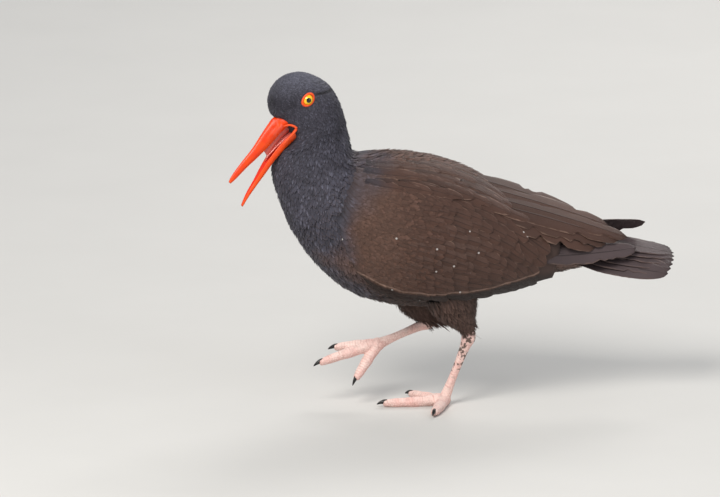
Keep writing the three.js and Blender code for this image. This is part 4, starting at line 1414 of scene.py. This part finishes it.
def bill_rings(table, lower, rows=90, columns=48):
    """Rings of one half of the bill.

    Each ring runs from underneath over the top and back. The upper half narrows towards its ridge and has a
    groove with the nostril on each side. The lower half is hollowed along its top.
    """
    u = np.linspace(0, 1, rows)
    along = (u * (len(table) - 1) - 1) / (len(table) - 2)
    angle = circle(columns)
    top_x, top_z, low_x, low_z, half = (spline(table, u * (len(table) - 1))[:, i, None] for i in range(5))
    lift = 0.5 + 0.5 * np.cos(angle)[None]
    out = np.sin(angle)[None] * half
    if lower:
        hollow = np.exp(-((angle / 0.75) ** 4))[None] * smooth((0.78 - along) / 0.5)[:, None]
        lift = lift - 0.62 * hollow
    else:
        out = out * (1 - 0.22 * np.maximum(0, np.cos(angle))[None])
        groove = np.exp(-(((np.abs(angle) - 1.15) / 0.16) ** 2))
        out = out * (1 - 0.2 * (groove[None] * np.exp(-(((along - 0.3) / 0.13) ** 4))[:, None]))
    return head_point(mix(low_x, top_x, lift), out, mix(low_z, top_z, lift))


# The fold round the corner of the mouth: points behind, out to one side and up, and the radius at each
GAPE = (
    (-43.6, 7.2, 251.7), (-38.4, 8.4, 252.4), (-33.6, 9.7, 250.6),
    (-33.2, 9.7, 247.8), (-38.2, 8.4, 242.0), (-43.6, 7.0, 235.9),
)
GAPE_RADII = (0.5, 0.9, 1.15, 1.2, 0.9, 0.5)

# The tongue's two ends, behind and up
TONGUE_ROOT = (-31, 243.3)
TONGUE_TIP = (-58, 222.6)


def mouth_rings(rows=30, columns=24):
    """The flesh between the two halves behind their opening: a thin wedge that narrows forward."""
    u = np.linspace(0, 1, rows)
    upper, lower = spline(BILL_UPPER, mix(0.2, 4.5, u)), spline(BILL_LOWER, mix(0.2, 4.2, u))
    roof = mix(upper[:, 2:4], upper[:, 0:2], 0.15)
    floor = mix(lower[:, 0:2], lower[:, 2:4], 0.2)
    angle = circle(columns)[None]
    place = mix(floor[:, None], roof[:, None], (0.5 + 0.5 * np.cos(angle))[..., None])
    half = np.minimum(upper[:, 4], lower[:, 4])[:, None] * mix(0.4, 0.2, u)[:, None]
    return head_point(place[..., 0], half * np.sin(angle), place[..., 1])


def tongue_rings(rows=40, columns=24):
    """A tapering, slightly arched tube from the tongue's root to its tip, rounded off at the tip."""
    u = np.linspace(0, 1, rows)[:, None]
    angle = circle(columns)[None]
    behind = mix(TONGUE_ROOT[0], TONGUE_TIP[0], u)
    up = mix(TONGUE_ROOT[1], TONGUE_TIP[1], u) + 1.5 * np.sin(math.pi * u)
    radius = mix(2.6, 1.0, u) * np.sqrt(1 - np.clip(u * 1.02 - 0.02, 0, 0.999) ** 6)
    behind, up = behind - 0.6 * radius * np.cos(angle), up + 0.55 * radius * np.cos(angle)
    return head_point(behind, radius * 1.05 * np.sin(angle), up)


class OYSTERCATCHER_OT_bill(bpy.types.Operator):
    """Make the two halves of the bill, the tongue, the flesh of the mouth and the folds at its corners"""

    bl_idname = "oystercatcher.bill"
    bl_label = "Bill"

    def execute(self, context):
        looks = colours(context.scene.oystercatcher_bare_parts)
        for word, table, lower in (("upper", BILL_UPPER, False), ("lower", BILL_LOWER, True)):
            mesh = loft_mesh("bill_" + word, bill_rings(table, lower))
            material = material_once("bill_" + word, bill_paint, looks, lower)
            put_piece("horn_" + word, mesh, material, ("bill_" + word,))
        flesh = material_once("tongue", tongue_paint)
        put_piece("tongue_flesh", loft_mesh("tongue", tongue_rings()), flesh, ("tongue",))
        for word, side in SIDES.items():
            line = [head_point(behind, side * out, up) for behind, out, up in GAPE]
            mesh = tube("gape", line, GAPE_RADII, rows=40, columns=16)
            put_piece("gape_" + word, mesh, material_once("lids", lid_paint, looks))
        put_piece("mouth_flesh", loft_mesh("mouth", mouth_rings()), flesh)
        return {"FINISHED"}


def eye_mesh(side):
    """An eyeball as rings round its line of sight, with a slightly bulging front."""
    back, out, up = head_axes(side)
    gaze = unit(out - 0.16 * back + 0.02 * up)
    first = unit(np.cross(up, gaze))
    second = np.cross(gaze, first)
    polar, turn = np.meshgrid(np.linspace(0.02, math.pi - 0.02, 56), circle(56), indexing="ij")
    radius = EYE_RADIUS * (1 + 0.035 * np.exp(-((polar / 0.6) ** 2)))
    centre = head_point(EYE_BACK, side * EYE_OUT, EYE_UP)
    ring = np.cos(turn)[..., None] * first + np.sin(turn)[..., None] * second
    rings = centre + (gaze * np.cos(polar)[..., None] + ring * np.sin(polar)[..., None]) * radius[..., None]
    return loft_mesh("eye", rings)


def lid_mesh(side):
    """The ring of the lids: a rounded band round an oval that slants up and back, pinched at its corners."""
    back, out, up = head_axes(side)
    turn, around = np.meshgrid(circle(96), circle(20), indexing="ij")
    long = back * math.cos(LID_SLANT) + up * math.sin(LID_SLANT)
    short = up * math.cos(LID_SLANT) - back * math.sin(LID_SLANT)
    centre = head_point(EYE_BACK, side * (EYE_OUT + 2.75), EYE_UP)
    c, s = np.cos(turn)[..., None], np.sin(turn)[..., None]
    ray = long * (c / LID_LONG) + short * (s / LID_SHORT)
    path = centre + long * (LID_LONG * c) + short * (LID_SHORT * s)
    path = path - out * (0.8 * c**2 + 0.1)
    thick = 0.8 + 0.2 * np.cos(turn) ** 8 + 0.03 * np.sin(turn * 37)
    wide = thick * np.where(np.cos(around) > 0, 1.3, 0.9)
    points = path + unit(ray) * (wide * np.cos(around))[..., None]
    rise = 0.85 * np.sin(around) - 0.55 * np.maximum(np.cos(around), 0)
    points = points + out * (thick * rise)[..., None]
    flat, spine = points.reshape(-1, 3), path.reshape(-1, 3)
    quads = grid_faces(*turn.shape, around=True, ring=True)
    if (face_normals(flat, quads) * (flat[quads].mean(1) - spine[quads[:, 0]])).sum() < 0:
        quads = quads[:, ::-1]
    mesh = make_mesh("lids", flat, quads)
    put_uv(mesh, "Surface", np.stack([around.ravel() / 6.3 + 0.5, turn.ravel() / 6.3 + 0.5], -1))
    return mesh


class OYSTERCATCHER_OT_eyes(bpy.types.Operator):
    """Make the eyes and the rings of their lids"""

    bl_idname = "oystercatcher.eyes"
    bl_label = "Eyes"

    def execute(self, context):
        looks = colours(context.scene.oystercatcher_bare_parts)
        ball = material_once("eye", eye_paint, looks)
        lids = material_once("lids", lid_paint, looks)
        for word, side in SIDES.items():
            put_piece("eyeball_" + word, eye_mesh(side), ball, ("eye_" + word,))
            put_piece("lids_" + word, lid_mesh(side), lids, ("eye_ring_" + word,))
        return {"FINISHED"}


# Legs


# Places along the shank as shares from ankle to foot, and how thick shank and toes are along their length
SHANK_SHARES = (-0.06, 0.06, 0.2, 0.42, 0.68, 0.9, 1.0)
SHANK_SWELL = (1.0, 1.68, 1.22, 1.0, 0.98, 1.25, 1.35)
TOE_SWELL = (1.05, 1.12, 1.0, 1.06, 0.92, 0.86, 0.62)

# Each web's two toes and how far along them it reaches
WEBS = (("middle", "outer", 0.58), ("inner", "middle", 0.34))


def tube(name, points, radii, flatten=1.0, rows=40, columns=28):
    """A tube on a smooth curve through points, with a radius at each, narrowed from side to side.

    Its far end is drawn out by half the last radius.
    """
    points, radii = np.array(points, float), np.array(radii, float)
    t = np.linspace(0, len(points) - 1, rows)
    centre, radius = spline(points, t), spline(radii, t)
    along = unit(np.gradient(centre, axis=0))
    side = unit(np.cross(np.array([0, 0, 1.0]), along))
    fore = np.cross(along, side)
    angle = circle(columns)
    c, s = np.cos(angle)[None, :, None], np.sin(angle)[None, :, None]
    ring = side[:, None] * (c * flatten) + fore[:, None] * s
    rings = centre[:, None] + ring * radius[:, None, None]
    end = rings[-1].mean(0)
    return loft_mesh(name, rings, end + unit(end - rings[-2].mean(0)) * radii[-1] * 0.5)


def toe_line(word, name, shares=(0, 0.35, 0.7, 1)):
    """Points at shares of a toe's length, straight from the joint. A standing foot's sink to the floor."""
    turn, reach, dip = TOES[word][name]
    turn, dip = math.radians(turn), math.radians(dip)
    way = np.array([-math.cos(turn) * math.cos(dip), -math.sin(turn) * math.cos(dip), -math.sin(dip)])
    start, f = np.array(TOE_JOINT[word], float), np.array(shares)
    points = start + way * (reach * f)[:, None]
    if word == "left":
        points[:, 2] += (TOE_RADIUS * 0.8 - start[2]) * smooth(np.minimum(1, f * 2.2))
    else:
        points[:, 2] -= 0.06 * reach * f * f
    return points


def web_mesh(word, one, other, share):
    """The web between two toes: a thin sheet from the joint, half as long midway as along the toes."""
    u, v = np.meshgrid(np.linspace(0.02, 1, 24), np.linspace(0, 1, 18), indexing="ij")
    pull = share * u * (1 - 0.5 * np.sin(math.pi * v)) * 3
    sheet = mix(spline(toe_line(word, one), pull), spline(toe_line(word, other), pull), v[..., None])
    thick = np.array([0, 0, 0.95])
    return plate_mesh("web", sheet + thick, sheet - thick)


def leg_parts(word):
    """Closed meshes of one leg's shank, toes, webs and pad, which run into each other."""
    ankle, foot = np.array(ANKLE[word], float), np.array(TOE_JOINT[word], float)
    shank = [mix(ankle, foot, f) for f in SHANK_SHARES]
    meshes = [tube("shank", shank, SHANK_RADIUS * np.array(SHANK_SWELL), 0.8, 60)]
    for name in TOE_NAMES:
        line = toe_line(word, name, np.linspace(0, 1, len(TOE_SWELL)))
        meshes.append(tube("toe", line, TOE_RADIUS * np.array(TOE_SWELL), 1.08, 50))
    meshes += [web_mesh(word, *web) for web in WEBS]
    polar, turn = np.meshgrid(np.linspace(0.05, math.pi - 0.05, 20), circle(28), indexing="ij")
    ball = np.stack([np.sin(polar) * np.cos(turn), np.sin(polar) * np.sin(turn), np.cos(polar)], -1)
    return [*meshes, loft_mesh("pad", ball * PAD_RADIUS + foot)]


def vertex_vectors(mesh, name):
    """Places or normals of a mesh's vertices."""
    values = np.zeros(len(mesh.vertices) * 3, np.float32)
    mesh.vertices.foreach_get(name, values)
    return values.reshape(-1, 3).astype(float)


def leg_mesh(word):
    """One leg as one skin. Its numbers give the place along each part, its front and the share of mud."""
    mesh = fused("leg_" + word, leg_parts(word), voxel=0.55, smoothing=8)
    place = vertex_vectors(mesh, "co")
    if word == "left":
        place[:, 2] = np.maximum(place[:, 2], 0.0)
        mesh.vertices.foreach_set("co", place.astype(np.float32).ravel())
        mesh.update()
    steps = 40
    lines = [np.linspace(ANKLE[word], TOE_JOINT[word], steps)]
    lines += [toe_line(word, name, np.linspace(0, 1, steps)) for name in TOE_NAMES]
    lengths = np.concatenate([np.linspace(0, np.linalg.norm(line[-1] - line[0]), steps) for line in lines])
    is_shank = np.repeat([True, False, False, False], steps)
    near = ((place[:, None] / MM - np.concatenate(lines)[None]) ** 2).sum(-1).argmin(1)
    forward = np.where(is_shank[near][:, None], np.array([-0.9, -0.1, 0.3]), np.array([0, 0, 1.0]))
    facing = (vertex_vectors(mesh, "normal") * forward).sum(1)
    put_number(mesh, "along", lengths[near])
    put_number(mesh, "front", smooth((facing - 0.15) / 0.4))
    mud = is_shank[near] * (word == "left") * smooth((44 - lengths[near]) / 14) + 0.12
    put_number(mesh, "mud", np.clip(mud, 0, 1))
    return mesh


def claw_mesh(word, name):
    """A claw out of a toe's end, arched by a parabola and narrowed to a point."""
    line = toe_line(word, name)
    way, up = unit(line[3] - line[2]), np.array([0, 0, 1.0])
    start = line[3] - way * 2.5 + up * 1.2
    f = np.array([0, 0.3, 0.6, 0.85, 1.0])[:, None]
    points = start + way * CLAW_LENGTH * f + up * (0.9 * f - 2.9 * f**2)
    return tube("nail", points, [2.1, 1.95, 1.45, 0.85, 0.25], 0.85, 24, 18)


class OYSTERCATCHER_OT_legs(bpy.types.Operator):
    """Make the legs with their webbed toes and claws"""

    bl_idname = "oystercatcher.legs"
    bl_label = "Legs"

    def execute(self, context):
        skin = material_once("leg", leg_paint, colours(context.scene.oystercatcher_bare_parts))
        horn = material_once("claw", claw_paint)
        for word in SIDES:
            put_piece("leg_" + word, leg_mesh(word), skin, ("tarsus_" + word, "foot_" + word))
            for name in TOE_NAMES:
                toe = f"{word}_{name}"
                put_piece("nail_" + toe, claw_mesh(word, name), horn, ("claw_" + toe,))
        return {"FINISHED"}


# Stage


# Lamps: name, place in metres, size, power and colour
LAMPS = (
    ("key", (-1.1, -1.5, 1.9), 1.0, 56, (1.0, 0.97, 0.92)),
    ("fill", (1.6, -1.7, 0.9), 1.6, 12, (0.92, 0.96, 1.0)),
    ("rim", (0.9, 1.5, 1.5), 1.0, 20, (1.0, 0.98, 0.95)),
)
LAMP_AIM = (0, 0, 0.15)
SKY_COLOUR = (0.93, 0.96, 1.0, 1)
SKY_STRENGTH = 0.45
FLOOR_REACH = 9.0

# The photograph's size and the place in it of the standing foot's toe joint, in pixels, and the width of the
# camera's sensor in millimetres
PICTURE_WIDTH, PICTURE_HEIGHT = 720, 497
FOOT_COLUMN, FOOT_ROW = 444, 405
SENSOR = 36


class OYSTERCATCHER_OT_stage(bpy.types.Operator):
    """Make the plain floor, the soft lights and the camera at the photograph's angle"""

    bl_idname = "oystercatcher.stage"
    bl_label = "Stage"

    def execute(self, context):
        settings = context.scene.oystercatcher_stage
        make_floor(context, settings)
        make_lights(context)
        context.scene.view_settings.view_transform = "Standard"
        place_camera(context, settings)
        return {"FINISHED"}


def make_floor(context, settings):
    """A plain square floor, mottled very slightly."""
    corners = np.array([(-1, -1, 0), (1, -1, 0), (1, 1, 0), (-1, 1, 0)]) * FLOOR_REACH / MM
    mesh = make_mesh("floor", corners, [(0, 1, 2, 3)])
    paint = Paint("floor", roughness=0.85)
    paint.base(paint.tint(tuple(settings.floor_colour), 0.97 + paint.noise(9, 4) * 0.06))
    mesh.materials.append(paint.material)
    floor = bpy.data.objects.new("floor", mesh)
    context.scene.collection.objects.link(floor)


def make_lights(context):
    """A pale sky and the lamps, which all look at the bird."""
    world = bpy.data.worlds.new("studio")
    world.use_nodes = True
    sky = world.node_tree.nodes["Background"]
    sky.inputs["Color"].default_value = SKY_COLOUR
    sky.inputs["Strength"].default_value = SKY_STRENGTH
    context.scene.world = world
    for name, place, size, power, colour in LAMPS:
        data = bpy.data.lights.new(name, "AREA")
        data.energy = power
        data.size = size
        data.color = colour
        lamp = bpy.data.objects.new(name, data)
        lamp.location = place
        lamp.rotation_euler = turned_to(np.array(LAMP_AIM) - np.array(place))
        context.scene.collection.objects.link(lamp)


def turned_to(aim):
    """Euler angles of a lamp or camera that looks along a direction, with its top upwards."""
    x, y, z = aim / np.linalg.norm(aim)
    return (math.acos(-z), 0.0, math.atan2(-x, y))


def place_camera(context, settings):
    """Stands the camera so that the toe joint of the standing foot lies where the photograph has it."""
    azimuth, elevation = settings.azimuth, settings.elevation
    s, c, m, k = math.sin(azimuth), math.cos(azimuth), math.sin(elevation), math.cos(elevation)
    right = np.array([c, -s, 0])
    up = np.array([s * m, c * m, k])
    forward = np.array([s * k, c * k, -m])
    column, row = FOOT_COLUMN - PICTURE_WIDTH / 2, FOOT_ROW - PICTURE_HEIGHT / 2
    centre = settings.pixel * (-column * right + row * up)
    data = bpy.data.cameras.new("camera")
    data.sensor_width = SENSOR
    data.lens = SENSOR * settings.distance / (PICTURE_WIDTH * settings.pixel)
    data.clip_end = 50
    camera = bpy.data.objects.new("camera", data)
    camera.location = centre - forward * settings.distance
    camera.rotation_euler = turned_to(forward)
    context.scene.collection.objects.link(camera)
    context.scene.camera = camera


# Add-on


class OYSTERCATCHER_PT_panel(bpy.types.Panel):
    """Lists the bird's pieces, sizes and colours"""

    bl_idname = "OYSTERCATCHER_PT_panel"
    bl_label = "Oystercatcher"
    bl_space_type = "VIEW_3D"
    bl_region_type = "UI"
    bl_category = "Oystercatcher"

    def draw(self, context):
        for operator in OPERATORS:
            self.layout.operator(operator.bl_idname)
        for name in GROUPS:
            group = getattr(context.scene, name)
            box = self.layout.box()
            for key in type(group).__annotations__:
                box.prop(group, key)


OPERATORS = (
    OYSTERCATCHER_OT_skin,
    OYSTERCATCHER_OT_coat,
    OYSTERCATCHER_OT_wings,
    OYSTERCATCHER_OT_long_feathers,
    OYSTERCATCHER_OT_bill,
    OYSTERCATCHER_OT_eyes,
    OYSTERCATCHER_OT_legs,
    OYSTERCATCHER_OT_stage,
)
GROUPS = {
    "oystercatcher_plumage": OystercatcherPlumage,
    "oystercatcher_bare_parts": OystercatcherBareParts,
    "oystercatcher_stage": OystercatcherStage,
}
CLASSES = (*GROUPS.values(), *OPERATORS, OYSTERCATCHER_PT_panel)


def register():
    for kind in CLASSES:
        bpy.utils.register_class(kind)
    for name, group in GROUPS.items():
        setattr(bpy.types.Scene, name, bpy.props.PointerProperty(type=group))


def unregister():
    for name in GROUPS:
        delattr(bpy.types.Scene, name)
    for kind in reversed(CLASSES):
        bpy.utils.unregister_class(kind)


def main():
    """Makes every piece in order."""
    register()
    for operator in OPERATORS:
        group, name = operator.bl_idname.split(".")
        getattr(getattr(bpy.ops, group), name)()


if __name__ == "__main__":
    main()
